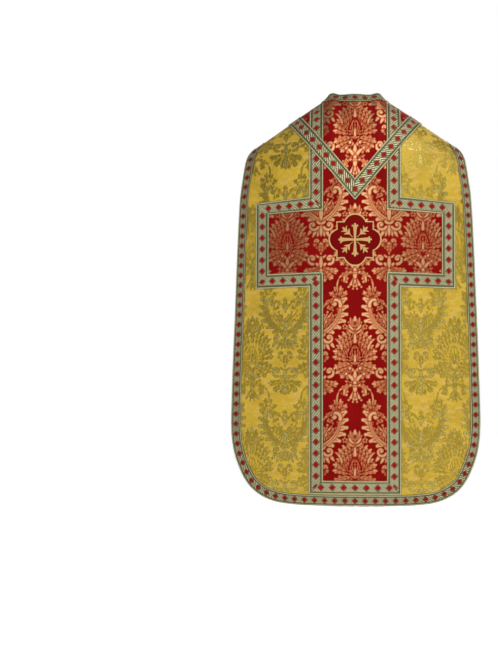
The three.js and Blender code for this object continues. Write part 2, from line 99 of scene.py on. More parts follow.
HANGS = {
    Side.BACK: Hang(
        hem=-1122, depth=130, flare=0.0375, drop=180, neck_drop=120, drop_spread=80, turn=1.0, wrap_top=92,
        wrap_low=62, wrap_from=-300, wrap_to=-1100,
        troughs=(Trough(-205, 46, 7, -0.03), Trough(188, 52, 6, 0.04), Trough(282, 30, 5, 0.02),
                 Trough(-288, 28, 4, -0.01))),
    Side.FRONT: Hang(
        hem=-1061, depth=128, flare=0.04, drop=200, neck_drop=130, drop_spread=110, turn=1.5, wrap_top=140,
        wrap_low=68, wrap_from=-350, wrap_to=-750,
        troughs=(Trough(-196, 44, 6, -0.05), Trough(176, 48, 7, 0.05), Trough(268, 30, 4, 0.03))),
}
WRAP_REACH, WRAP_POWER = 330.0, 2.2
TROUGH_FROM, TROUGH_TO = -330.0, -900.0


def smooth(start: float, end: float, value: Array) -> Array:
    """A smooth step from 0 at start to 1 at end."""
    t = np.clip((np.asarray(value, float) - start) / (end - start), 0, 1)
    return t * t * (3 - 2 * t)


def crest(x: Array) -> Array:
    """The height of the crest over the shoulders at a distance from the middle."""
    x = np.asarray(x, float)
    return 31 - 0.70 * (np.hypot(x, 40) - 40) + 9 * np.exp(-(((np.abs(x) - 64) / 16) ** 2))


def on_crest(x: float) -> Pair:
    """The (x, z) pair on the crest at a distance from the middle."""
    return x, float(crest(x))


def mirrored(path: Array) -> Array:
    """The same path on the other half of the garment."""
    return path * np.array([-1.0, 1.0])


HALVES = (("left", np.asarray), ("right", mirrored))


def unit(vectors: Array) -> Array:
    """Vectors brought to length one."""
    return vectors / np.maximum(np.linalg.norm(vectors, axis=-1, keepdims=True), 1e-9)


class Drape:
    """The worn shape of the cloth, as tables over cloth points that every piece is laid on."""

    STEP, HALF_WIDTH, LONGEST = 2.0, 352.0, 1212.0
    FALL_STEP, BELOW_HEM = 20.0, 60.0
    WEAVE_LEVEL, WEAVE_SHIFT, CREST_TAKE_UP = 400.0, 3.0, 16.0

    def __init__(self) -> None:
        """Work out both sides' tables."""
        self.xs = np.arange(-self.HALF_WIDTH, self.HALF_WIDTH + 0.1, self.STEP)
        self.qs = np.arange(0.0, self.LONGEST + 0.1, self.STEP)
        self.places: dict[Side, Array] = {}
        self.normals: dict[Side, Array] = {}
        self.lengths: dict[Side, Array] = {}
        self.levels: dict[Side, Array] = {}
        for side, hang in HANGS.items():
            self._hang(side, hang)

    def _hang(self, side: Side, hang: Hang) -> None:
        """Fill one side's tables."""
        place = np.zeros((len(self.xs), len(self.qs), 3))
        length, level = np.zeros(len(self.xs)), np.zeros(len(self.xs))
        angle = np.linspace(0, math.pi / 2, 41)
        for i, x in enumerate(self.xs):
            top = float(crest(x))
            drop = hang.drop + hang.neck_drop * math.exp(-((x / hang.drop_spread) ** 2))
            fall = np.arange(top - drop - self.FALL_STEP, hang.hem - self.BELOW_HEM, -self.FALL_STEP)
            z = np.concatenate([top - drop * (1 - np.cos(angle)), fall])
            share = np.concatenate([np.sin(angle) ** hang.turn, np.ones(len(fall))])
            wrap = hang.wrap_top + (hang.wrap_low - hang.wrap_top) * smooth(hang.wrap_from, hang.wrap_to, z)
            y = hang.depth - hang.flare * z - wrap * (abs(x) / WRAP_REACH) ** WRAP_POWER
            for fold in hang.troughs:
                off = (x - fold.x - fold.lean * (TROUGH_FROM - z)) / fold.width
                y = y - fold.depth * smooth(TROUGH_FROM, TROUGH_TO, z) * np.exp(-off * off)
            y = y * share
            s = np.concatenate([[0], np.cumsum(np.hypot(np.diff(y), np.diff(z)))])
            length[i] = np.interp(-hang.hem, -z, s)
            level[i] = np.interp(self.WEAVE_LEVEL, -z, s)
            at = self.qs / FULL * length[i]
            place[i, :, 0] = x
            place[i, :, 1] = side.value * np.interp(at, s, y)
            place[i, :, 2] = np.interp(at, s, z)
        across, along = np.gradient(place, axis=0), side.value * np.gradient(place, axis=1)
        self.places[side], self.normals[side] = place, unit(np.cross(across, along))
        self.lengths[side], self.levels[side] = length, level

    def _read(self, tables: dict[Side, Array], points: Array) -> Array:
        """Read a table of vectors at cloth points, between its entries."""
        x, q = points[..., 0], points[..., 1]
        u = np.clip((x - self.xs[0]) / self.STEP, 0, len(self.xs) - 1.001)
        w = np.clip(np.abs(q) / self.STEP, 0, len(self.qs) - 1.001)
        i, j = u.astype(int), w.astype(int)
        fu, fw = (u - i)[..., None], (w - j)[..., None]
        both = [t[i, j] * (1 - fu) * (1 - fw) + t[i + 1, j] * fu * (1 - fw) + t[i, j + 1] * (1 - fu) * fw
                + t[i + 1, j + 1] * fu * fw for t in (tables[Side.BACK], tables[Side.FRONT])]
        return np.where((q >= 0)[..., None], both[0], both[1])

    def place(self, points: Array) -> Array:
        """Where cloth points are, in the damask's face, without relief."""
        return self._read(self.places, points)

    def outward(self, points: Array) -> Array:
        """The outward normals at cloth points."""
        return unit(self._read(self.normals, points))

    @staticmethod
    def relief(points: Array) -> Array:
        """The slight unevenness of stiff lined cloth, the same under every layer."""
        x, q = points[..., 0], points[..., 1]
        low = smooth(120, 620, np.abs(q))
        waves = (0.9 * np.sin(x / 37 + 0.0016 * q) * np.sin(q / 171 + 1.3)
                 + 0.6 * np.sin(x / 23 + q / 260 + 0.7) + 0.35 * np.sin(q / 47 + x / 61))
        return waves * (0.35 + 0.65 * low)

    def lay(self, points: Array, height: Array) -> Array:
        """Where cloth points are at a height above the damask's face.

        Args:
            points: cloth points, in any shape that ends in (x, q).
            height: heights along the outward normal, of a shape that fits.

        Returns:
            Places, in millimetres.
        """
        lift = np.asarray(height, float) + self.relief(points)
        return self.place(points) + self.outward(points) * lift[..., None]

    def flat(self, points: Array) -> Array:
        """The weave's length coordinate, which equals the depth below the origin at one level."""
        x, q = points[..., 0], points[..., 1]
        back, front = [np.abs(q) / FULL * np.interp(x, self.xs, self.lengths[side])
                       - np.interp(x, self.xs, self.levels[side]) + self.WEAVE_LEVEL for side in Side]
        take_up = self.CREST_TAKE_UP * (1 - smooth(60, 300, np.abs(q)))
        return np.where(q >= 0, back, front) + take_up + self.WEAVE_SHIFT

    def at_height(self, side: Side, corners: Array) -> Array:
        """Cloth points from (x, z) pairs."""
        table = self.places[side][..., 2]
        made = []
        for x, z in np.asarray(corners, float).reshape(-1, 2):
            u = (x - self.xs[0]) / self.STEP
            i = min(int(u), len(self.xs) - 2)
            column = table[i] + (u - i) * (table[i + 1] - table[i])
            made.append((x, side.value * max(np.interp(-z, -column, self.qs), SEAM)))
        return np.array(made)

    def at_depth(self, side: Side, x: float, y: float) -> Pair:
        """The cloth point near the crest that is y away from the crest's plane."""
        column = np.abs(self.places[side][int(round((x - self.xs[0]) / self.STEP)), :60, 1])
        return x, side.value * max(float(np.interp(y, column, self.qs[:60])), SEAM)


class Cutter:
    """Works out the paths that the pieces are cut along."""

    NECK_HALF, NECK_BACK = 72.0, 53.0
    SLOT = ((67.0, -36.0), (12.7, -256.0))
    BACK_EDGE = (
        (281, -139.7), (291, -150), (299, -162), (304.5, -178), (307.5, -196), (312, -229), (319, -286),
        (325, -398), (331, -565), (340, -841), (340, -924), (335, -970), (324, -1010), (302, -1057),
        (271, -1090), (225, -1112), (171, -1119.5), (90, -1121.7), (0, -1122),
    )
    FRONT_EDGE = (
        (281, -139.7), (272, -142), (254, -149), (236, -161), (221, -181), (209, -211), (201, -240),
        (198, -267), (199, -300), (205, -345), (211, -400), (219, -455), (247, -560), (274, -650),
        (296, -735), (305.5, -795), (309, -860), (303, -928), (286, -980), (257, -1009), (206, -1036),
        (138, -1055), (60, -1060.5), (0, -1061),
    )

    def __init__(self, drape: Drape) -> None:
        """Keep the drape and work out the outlines and the neck's rim."""
        self.drape = drape
        self.edges = {Side.BACK: self._outline(Side.BACK, self.BACK_EDGE),
                      Side.FRONT: self._outline(Side.FRONT, self.FRONT_EDGE)}
        back = [(self.NECK_HALF, SEAM)]
        for turn in np.radians(np.arange(3, 91, 3)):
            x = round(self.NECK_HALF * math.cos(turn) / 2) * 2.0
            y = self.NECK_BACK * math.sqrt(max(1 - (x / self.NECK_HALF) ** 2, 0))
            if x < back[-1][0]:
                back.append(drape.at_depth(Side.BACK, x, y))
        start = np.array([[self.NECK_HALF, -SEAM]])
        front = np.vstack([start, self.polyline(Side.FRONT, [on_crest(self.NECK_HALF), *self.SLOT])[2:]])
        self.rims = {Side.BACK: np.array(back), Side.FRONT: front}

    def _outline(self, side: Side, table: Sequence[Pair]) -> Array:
        """A smooth outline through a table of (x, z), from the crest to the middle of the hem."""
        p = np.array(table, float)
        p = np.vstack([p[:1], p, p[-1:]])
        t = np.linspace(0, 1, 33)[:-1, None]
        pieces = []
        for a, b, c, d in zip(p[:-3], p[1:-2], p[2:-1], p[3:]):
            v, w = (c - a) / 2, (d - b) / 2
            bend, swing = 2 * b - 2 * c + v + w, -3 * b + 3 * c - 2 * v - w
            pieces.append(bend * t ** 3 + swing * t ** 2 + v * t + b)
        fine = np.vstack([*pieces, p[-1:]])
        fine[:, 0] = np.maximum(fine[:, 0], 0)
        path = self.drape.at_height(side, fine)
        path[0] = (table[0][0], side.value * SEAM)
        return self.even(path, 2.6)

    def even(self, path: Array, step: float) -> Array:
        """The same path with points evenly spaced on the cloth."""
        run = self.lengths(self.drape.place(path))
        at = np.linspace(0, run[-1], max(2, int(math.ceil(run[-1] / step)) + 1))
        return np.stack([np.interp(at, run, path[:, 0]), np.interp(at, run, path[:, 1])], 1)

    @staticmethod
    def lengths(places: Array) -> Array:
        """The length along a line of places, from its first."""
        return np.concatenate([[0], np.cumsum(np.linalg.norm(np.diff(places, axis=0), axis=1))])

    def polyline(self, side: Side, corners: Sequence[Pair], step: float = 5.0) -> Array:
        """Cloth points along straight lines between (x, z) corners, dense where the cloth is level."""
        return self.rails(side, corners, corners, step)[0]

    def rails(self, side: Side, lefts: Sequence[Pair], rights: Sequence[Pair],
              step: float = 5.0) -> tuple[Array, Array]:
        """Two paths with as many points each.

        Args:
            side: the side that both lie on.
            lefts: (x, z) corners of one path.
            rights: as many corners of the other.
            step: the distance between points, about.

        Returns:
            Both paths, as cloth points.
        """
        made: tuple[list[Array], list[Array]] = ([], [])
        for k in range(len(lefts) - 1):
            ends = [(np.array(c[k], float), np.array(c[k + 1], float)) for c in (lefts, rights)]
            level = ends[0][0][1] > crest(ends[0][0][0]) - 1
            count = max(2, int(np.linalg.norm(ends[0][1] - ends[0][0]) / step))
            t = np.linspace(0, 1, count + 1)[:, None]
            t = t ** 2 if level else t
            for rail, (a, b) in zip(made, ends):
                rail.append((a + t * (b - a))[(1 if k else 0):])
        return self.drape.at_height(side, np.vstack(made[0])), self.drape.at_height(side, np.vstack(made[1]))

    def beside(self, path: Array, distance: float) -> Array:
        """The same path moved sideways on the cloth by a real distance, with mitred corners."""
        here = self.drape.place(path)
        dx, dq = np.array([1.0, 0.0]), np.array([0.0, 1.0])
        along_x = (self.drape.place(path + dx) - self.drape.place(path - dx)) / 2
        along_q = (self.drape.place(path + dq) - self.drape.place(path - dq)) / 2
        normal = unit(np.cross(along_x, along_q))
        step = np.diff(here, axis=0)
        before = unit(np.cross(normal, np.vstack([step[:1], step])))
        after = unit(np.cross(normal, np.vstack([step, step[-1:]])))
        across = unit(before + after)
        across *= (distance / np.sum(across * before, axis=1))[:, None]
        pairs = (along_x, along_x), (along_x, along_q), (along_q, along_q)
        xx, xq, qq = (np.sum(a * b, axis=1) for a, b in pairs)
        ax, aq = np.sum(across * along_x, axis=1), np.sum(across * along_q, axis=1)
        det = xx * qq - xq * xq
        return path + np.stack([(ax * qq - aq * xq) / det, (aq * xx - ax * xq) / det], 1)

    def level(self, side: Side, z: float, xs: Array, sag: float = 0.0, middle: float = 0.0,
              power: float = 1.0) -> Array:
        """A line across a side, lower towards its ends by a sag that grows beyond the middle stretch."""
        half = float(np.max(np.abs(xs)))
        share = np.clip(np.abs(xs) - middle, 0, None) / max(half - middle, 1)
        return self.drape.at_height(side, np.stack([xs, z - sag * share ** power], 1))


# The damask's motif


def stroke(path: Array, root: float, belly: float, tip: float, count: int = 16) -> Array:
    """Circles (x, v, radius) along a curve through control points, with widths at its root, belly and tip.

    Args:
        path: three or four control points.
        root: the width where it begins.
        belly: the pull on its width between.
        tip: the width where it ends.
        count: how many circles.

    Returns:
        The circles, from root to tip.
    """
    t, p = np.linspace(0, 1, count)[:, None], np.asarray(path, float)
    if len(p) == 3:
        at = (1 - t) ** 2 * p[0] + 2 * t * (1 - t) * p[1] + t * t * p[2]
    else:
        at = (1 - t) ** 3 * p[0] + 3 * t * (1 - t) ** 2 * p[1] + 3 * t * t * (1 - t) * p[2] + t ** 3 * p[3]
    width = (1 - t) ** 2 * root + 3 * t * (1 - t) * belly + t * t * tip
    return np.hstack([at, width / 2])


def thinned(circles: Array, radius: float) -> Array:
    """The same circles, all with one radius."""
    return circles * (1, 1, 0) + (0, 0, radius)


def bowed(x0: float, v0: float, x1: float, v1: float, bow: float) -> Array:
    """Control points of a curve between two points that leans to one side by a share of its length."""
    middle = ((x0 + x1) / 2 - (v1 - v0) * bow, (v0 + v1) / 2 + (x1 - x0) * bow)
    return np.array([(x0, v0), middle, (x1, v1)])


@dataclass(frozen=True)
class Figure:
    """Circles that are woven together, a margin kept free round them, and circles left open in them."""

    ink: Array
    margin: float = 1.5
    veins: Optional[Array] = None


@dataclass(frozen=True)
class Frond:
    """A tapered stroke from a root to a tip, bowed sideways, with its widths at root, belly and tip."""

    x0: float
    v0: float
    x1: float
    v1: float
    bow: float
    root: float
    belly: float
    tip: float

    def figures(self) -> list[Figure]:
        """The stroke."""
        line = bowed(self.x0, self.v0, self.x1, self.v1, self.bow)
        return [Figure(stroke(line, self.root, self.belly, self.tip))]


@dataclass(frozen=True)
class Curl:
    """A spiral from its eye outwards."""

    x: float
    v: float
    radius: float
    start: float
    turns: float
    thin: float
    thick: float
    eye: float

    def figures(self) -> list[Figure]:
        """The spiral."""
        t = np.linspace(0, 1, 36)
        turn = math.radians(self.start) + t * self.turns * 2 * math.pi
        radius = self.radius * (0.12 + 0.88 * t)
        ring = np.stack([self.x + radius * np.cos(turn), self.v + radius * np.sin(turn),
                         (self.thin + (self.thick - self.thin) * t) / 2], 1)
        return [Figure(np.vstack([ring, [[self.x, self.v, self.eye]]]))]


@dataclass(frozen=True)
class Dot:
    """A round spot."""

    x: float
    v: float
    radius: float

    def figures(self) -> list[Figure]:
        """The spot."""
        return [Figure(np.array([[self.x, self.v, self.radius]]))]


@dataclass(frozen=True)
class Blank:
    """A shape left open in what was drawn before it, as wide as a frond of the same numbers."""

    x0: float
    v0: float
    x1: float
    v1: float
    root: float
    belly: float
    tip: float

    def figures(self) -> list[Figure]:
        """The open shape."""
        open_part = stroke(bowed(self.x0, self.v0, self.x1, self.v1, 0), self.root, self.belly, self.tip, 30)
        return [Figure(thinned(open_part[:1], 0.0), 0.0, open_part)]


@dataclass(frozen=True)
class Leaf:
    """A lobed leaf: a bent rib with round lobes on both sides, and veins left open."""

    x0: float
    v0: float
    x1: float
    v1: float
    bow: float
    width: float
    lobes: int

    def figures(self) -> list[Figure]:
        """The leaf."""
        w = self.width
        rib = stroke(bowed(self.x0, self.v0, self.x1, self.v1, self.bow), 0.34 * w, 0.34 * w, 0.34 * w, 30)
        ink, veins = [rib], [thinned(rib[4:22], 0.8)]
        for side in (-1, 1):
            for k in range(self.lobes):
                t = (k + 0.75) / (self.lobes + 0.35)
                i = int(t * 28)
                base, ahead = rib[i, :2], unit(rib[i + 1, :2] - rib[i, :2])
                out = np.array([-ahead[1], ahead[0]]) * side
                size = w * (0.40 + 0.12 * math.sin(math.pi * t))
                tip = base + size * (0.72 * ahead + 0.69 * out)
                bend = base + size * (0.62 * out + 0.12 * ahead)
                ink.append(stroke(np.array([base, bend, tip]), 0.3 * w, 0.24 * w, 0.27 * w, 10))
                veins.append(stroke(np.array([base, bend, tip]), 1.5, 1.0, 0.6, 10)[:7])
        return [Figure(np.vstack(ink), 2.1, np.vstack(veins))]


@dataclass(frozen=True)
class Plume:
    """A large acanthus leaf: a stem along four points with fronds on both sides."""

    rib: tuple[Pair, ...]
    count: int
    outer: float
    inner: float
    width: float
    sweep: float
    stem: float

    def figures(self) -> list[Figure]:
        """The fronds from the tip to the root, and the stem over them."""
        rib = stroke(np.array(self.rib), self.stem, self.stem * 0.62, self.stem * 0.45, 61)
        made: list[Figure] = []
        for k in reversed(range(self.count)):
            t = (k + 0.9) / self.count
            i = min(int(t * 58), 58)
            base, ahead = rib[i, :2], unit(rib[i + 1, :2] - rib[i, :2])
            for side, length in ((-1, self.outer), (1, self.inner)):
                size = length * (0.48 + 0.52 * math.sin(math.pi * min(0.9 * t, 1)))
                c, s = math.cos(math.radians(self.sweep)), side * math.sin(math.radians(self.sweep))
                tip = base + size * np.array([ahead[0] * c - ahead[1] * s, ahead[0] * s + ahead[1] * c])
                frond = stroke(bowed(*base, *tip, -0.26 * side), self.width, self.width, self.width * 0.5)
                ink = np.vstack([frond, [[*tip, self.width * 0.4]]])
                made.append(Figure(ink, 1.7, thinned(frond[3:12], 0.6)))
        return [*made, Figure(rib, 0.8, thinned(rib[6:50], 0.7))]


@dataclass(frozen=True)
class Fan:
    """Fine fronds that spread from one point, the first straight up, each with a spot at its tip."""

    x: float
    v: float
    last: float
    count: int
    near: float
    far_first: float
    far_last: float
    width: float

    def figures(self) -> list[Figure]:
        """The fronds."""
        made: list[Figure] = []
        for k in range(self.count):
            share = k / max(self.count - 1, 1)
            turn = math.radians(self.last * share)
            far = self.far_first + (self.far_last - self.far_first) * share
            dx, dv = math.sin(turn), -math.cos(turn)
            tip, ends = (self.x + far * dx, self.v + far * dv), self.width * 0.6
            made += Frond(self.x + self.near * dx, self.v + self.near * dv, *tip, 0.04, ends, self.width,
                          ends).figures()
            made += Dot(*tip, self.width * 0.72).figures()
        return made


PALMETTE = (
    Frond(46, 205, 50, 242, -0.2, 3.4, 5.0, 3.0), Frond(28, 199, 46, 205, -0.4, 3.4, 5.6, 3.4),
    Plume(((2, 196), (10, 182), (30, 180), (32, 214)), 4, 9, 15, 9.0, 50, 11.0),
    Frond(3, 204, 18, 228, 0.16, 5.0, 8.6, 3.8), Dot(18.5, 229, 3.2),
    Frond(0, 204, 6, 233, 0.1, 5.0, 8.4, 3.4), Dot(6, 234, 3.0), Frond(0, 196, 0, 222, 0, 4.0, 7.0, 2.6),
    Leaf(10, 150, 23, 172, -0.1, 13, 2), Leaf(12, 144, 40, 168, -0.16, 17, 3),
    Leaf(14, 136, 54, 156, -0.2, 18, 3), Leaf(15, 131, 60, 144, -0.2, 18, 3),
    Leaf(17, 121, 62, 113, -0.14, 19, 3), Leaf(18, 115, 61, 97, -0.16, 19, 3),
    Leaf(20, 112, 52, 82, -0.2, 16, 3), Frond(38, 92, 57, 64, -0.3, 5.0, 9.0, 3.0),
    Leaf(20, 112, 46, 56, -0.26, 18, 4), Leaf(16, 108, 35, 46, -0.24, 17, 4),
    Leaf(10, 100, 22, 41, -0.2, 15, 4), Leaf(3, 92, 9, 38, -0.12, 12, 4),
    Frond(0, 88, 0, 44, 0, 5.0, 9.0, 3.0), Frond(0, 46, 0, 22, 0, 3.2, 5.4, 3.0),
    Frond(2, 47, 21, 34, 0.3, 3.0, 5.4, 3.0), Dot(21.5, 33, 3.0), Frond(2, 40, 17, 20, 0.3, 3.4, 7.4, 3.4),
    Dot(17.5, 19, 3.4), Frond(1, 31, 13, 6, 0.26, 3.4, 7.8, 2.6), Frond(0, 26, 7, 11, 0.3, 3.0, 5.4, 2.6),
    Frond(0, 22, 0, 2, 0, 4.0, 10.6, 2.6), Blank(0, 16, 0, 25, 1, 5, 1),
    *(Dot(29 + 5.3 * math.cos(a), 31 + 5.3 * math.sin(a), 2.9) for a in np.radians((-90, -18, 54, 126, 198))),
    Blank(0, 76, 0, 144, 2, 46, 8), Frond(2, 82, 14, 112, -0.18, 2.4, 3.4, 2.4),
    Frond(14, 112, 6, 142, -0.2, 2.4, 3.4, 2.8), Fan(0, 136, 58, 6, 8, 48, 13, 3.0),
    Frond(0, 133, 0, 104, 0, 4.0, 7.0, 2.6), Dot(5, 130, 2.6), Frond(1, 186, 11, 142, -0.36, 7.0, 9.4, 5.4),
    Dot(14.5, 143, 4.4), Frond(0, 178, 0, 148, 0, 3.4, 11.4, 3.0),
    Frond(4, 189, 24, 160, -0.36, 6.0, 8.6, 5.0), Dot(25.5, 158, 4.2), Leaf(6, 190, 28, 178, -0.24, 10, 2),
    Frond(0, 202, 0, 180, 0, 10.0, 9.0, 8.0), Frond(-12, 190, 12, 190, 0, 3.0, 4.0, 3.0), Dot(13, 189, 3.6),
)
HEART = (
    Frond(3, 108, 10, 66, -0.14, 4.0, 6.6, 3.4), Frond(6, 112, 19, 62, -0.18, 4.0, 7.4, 3.4),
    Frond(10, 114, 30, 62, -0.2, 4.0, 8.4, 3.8), Leaf(18, 112, 42, 66, -0.24, 15, 3),
    Leaf(50, 34, 24, 8, 0.24, 15, 3), Leaf(54, 34, 37, -6, 0.18, 16, 3), Leaf(56, 38, 53, -9, 0.0, 16, 3),
    Leaf(58, 42, 68, 4, -0.12, 15, 3),
    Plume(((2, 118), (30, 105), (54, 80), (54, 30)), 6, 8, 28, 12.6, 42, 12.0),
    Curl(38, 38, 15.5, 40, 0.95, 4.0, 10.0, 5.4), Leaf(31, 24, 15, 34, -0.25, 13, 2),
    Leaf(33, 56, 18, 47, 0.3, 13, 2), Dot(18, 60, 3.4), Dot(9, 68, 3.2),
    Frond(0, 116, 0, 76, 0, 5.0, 13.8, 3.0), Leaf(0, 60, 0, 22, 0, 15, 3),
    Frond(0, 62, 13, 40, -0.3, 4.0, 7.4, 3.6), Dot(14, 38, 3.6),
)
VOLUTES = (
    Frond(4, 18, 10, 44, 0.1, 6.0, 9.0, 3.6), Frond(14, 24, 23, 46, 0.1, 6.0, 9.0, 3.6),
    Frond(26, 24, 36, 40, 0.1, 6.0, 9.0, 3.6), Frond(0, 14, 0, 44, 0, 5.0, 9.4, 3.0),
    Curl(21, 14, 14, 120, 1.1, 3.4, 8.4, 4.6), Frond(0, 10, 12, 2, 0.2, 4.6, 7.8, 3.6),
    Curl(10, 58, 8.5, 60, 1.0, 3.0, 5.6, 3.4), Leaf(3, 84, 20, 66, -0.2, 12, 2),
    Leaf(0, 92, 0, 62, 0, 15, 3), Curl(23, 106, 14, 60, 1.1, 3.4, 8.6, 4.8),
    Frond(12, 119, 0, 134, 0.15, 7.0, 9.6, 4.8), Leaf(4, 130, 44, 138, 0.2, 19, 3),
    Leaf(4, 134, 31, 158, 0.14, 18, 3), Leaf(1, 136, 11, 166, 0.08, 15, 3),
    Frond(0, 102, 13, 95, 0.3, 3.4, 6.4, 3.4), Frond(0, 134, 0, 170, 0, 7.0, 11.4, 3.0),
    Frond(0, 128, 0, 99, 0, 5.6, 11.0, 3.0),
)


class Damask:
    """The woven repeat: palmettes on one upright line, hearts and volutes on the next, mirrored on both."""

    HALF, PITCH, STEP, REACH = 92.0, 306.0, 0.5, 4.0
    # Each table, the width its first half is drawn at, and where its axis and its top lie.
    LAYOUT = ((HEART, 1.0, HALF, 236.0), (VOLUTES, 1.0, HALF, 352.0), (PALMETTE, -0.93, 0.0, -1.0))

    def __init__(self) -> None:
        """Work out the distance to the motif's edge over half a repeat."""
        self.field = np.full((int(self.HALF / self.STEP) + 1, int(self.PITCH / self.STEP)), self.REACH)
        for table, width, x, top in self.LAYOUT:
            for figure in (figure for shape in table for figure in shape.figures()):
                for half in (width, -width):
                    self._weave(figure, np.array([half, 1, 1]), np.array([x, top, 0]))

    def _weave(self, figure: Figure, turn: Array, shift: Array) -> None:
        """Add one figure to the field, over what is there."""
        spot, off = self._distance(figure.ink * turn + shift)
        if spot is None:
            return
        self.field[spot] = np.minimum(np.maximum(self.field[spot], figure.margin - off), off)
        if figure.veins is not None:
            spot, off = self._distance(figure.veins * turn + shift)
            if spot is not None:
                self.field[spot] = np.maximum(self.field[spot], -off)

    def _distance(self, circles: Array) -> tuple[Optional[tuple], Array]:
        """Where circles reach in the field, and the distance to them there."""
        low = np.floor(((circles[:, :2] - circles[:, 2:]).min(0) - self.REACH) / self.STEP).astype(int)
        high = np.ceil(((circles[:, :2] + circles[:, 2:]).max(0) + self.REACH) / self.STEP).astype(int)
        i = np.arange(max(0, low[0]), min(len(self.field) - 1, high[0]) + 1)
        j = np.arange(low[1], high[1] + 1)
        if not len(i):
            return None, i
        off = np.full((len(i), len(j)), self.REACH)
        for x, v, radius in circles:
            away = np.hypot((i * self.STEP - x)[:, None], (j * self.STEP - v)[None, :])
            off = np.minimum(off, away - radius)
        return np.ix_(i, j % self.field.shape[1]), off

    def at(self, x: Array, v: Array) -> Array:
        """The distance to the motif's edge at places of the flat cloth, negative inside the motif."""
        x = np.abs(np.mod(x + self.HALF, 2 * self.HALF) - self.HALF) / self.STEP
        v = np.mod(v, self.PITCH) / self.STEP
        i, j = np.minimum(x.astype(int), len(self.field) - 2), v.astype(int) % self.field.shape[1]
        fx, fv, after = x - i, v - np.floor(v), (j + 1) % self.field.shape[1]
        near = self.field[i, j] * (1 - fx) + self.field[i + 1, j] * fx
        far = self.field[i, after] * (1 - fx) + self.field[i + 1, after] * fx
        return near * (1 - fv) + far * fv


# Cloth as meshes


@dataclass(frozen=True)
class Stuff:
    """What a piece is made of: material and slot, its wall, or how deep its border is turned in."""

    material: Material
    slot: str
    wall: float = 0.0
    turned: float = 0.0


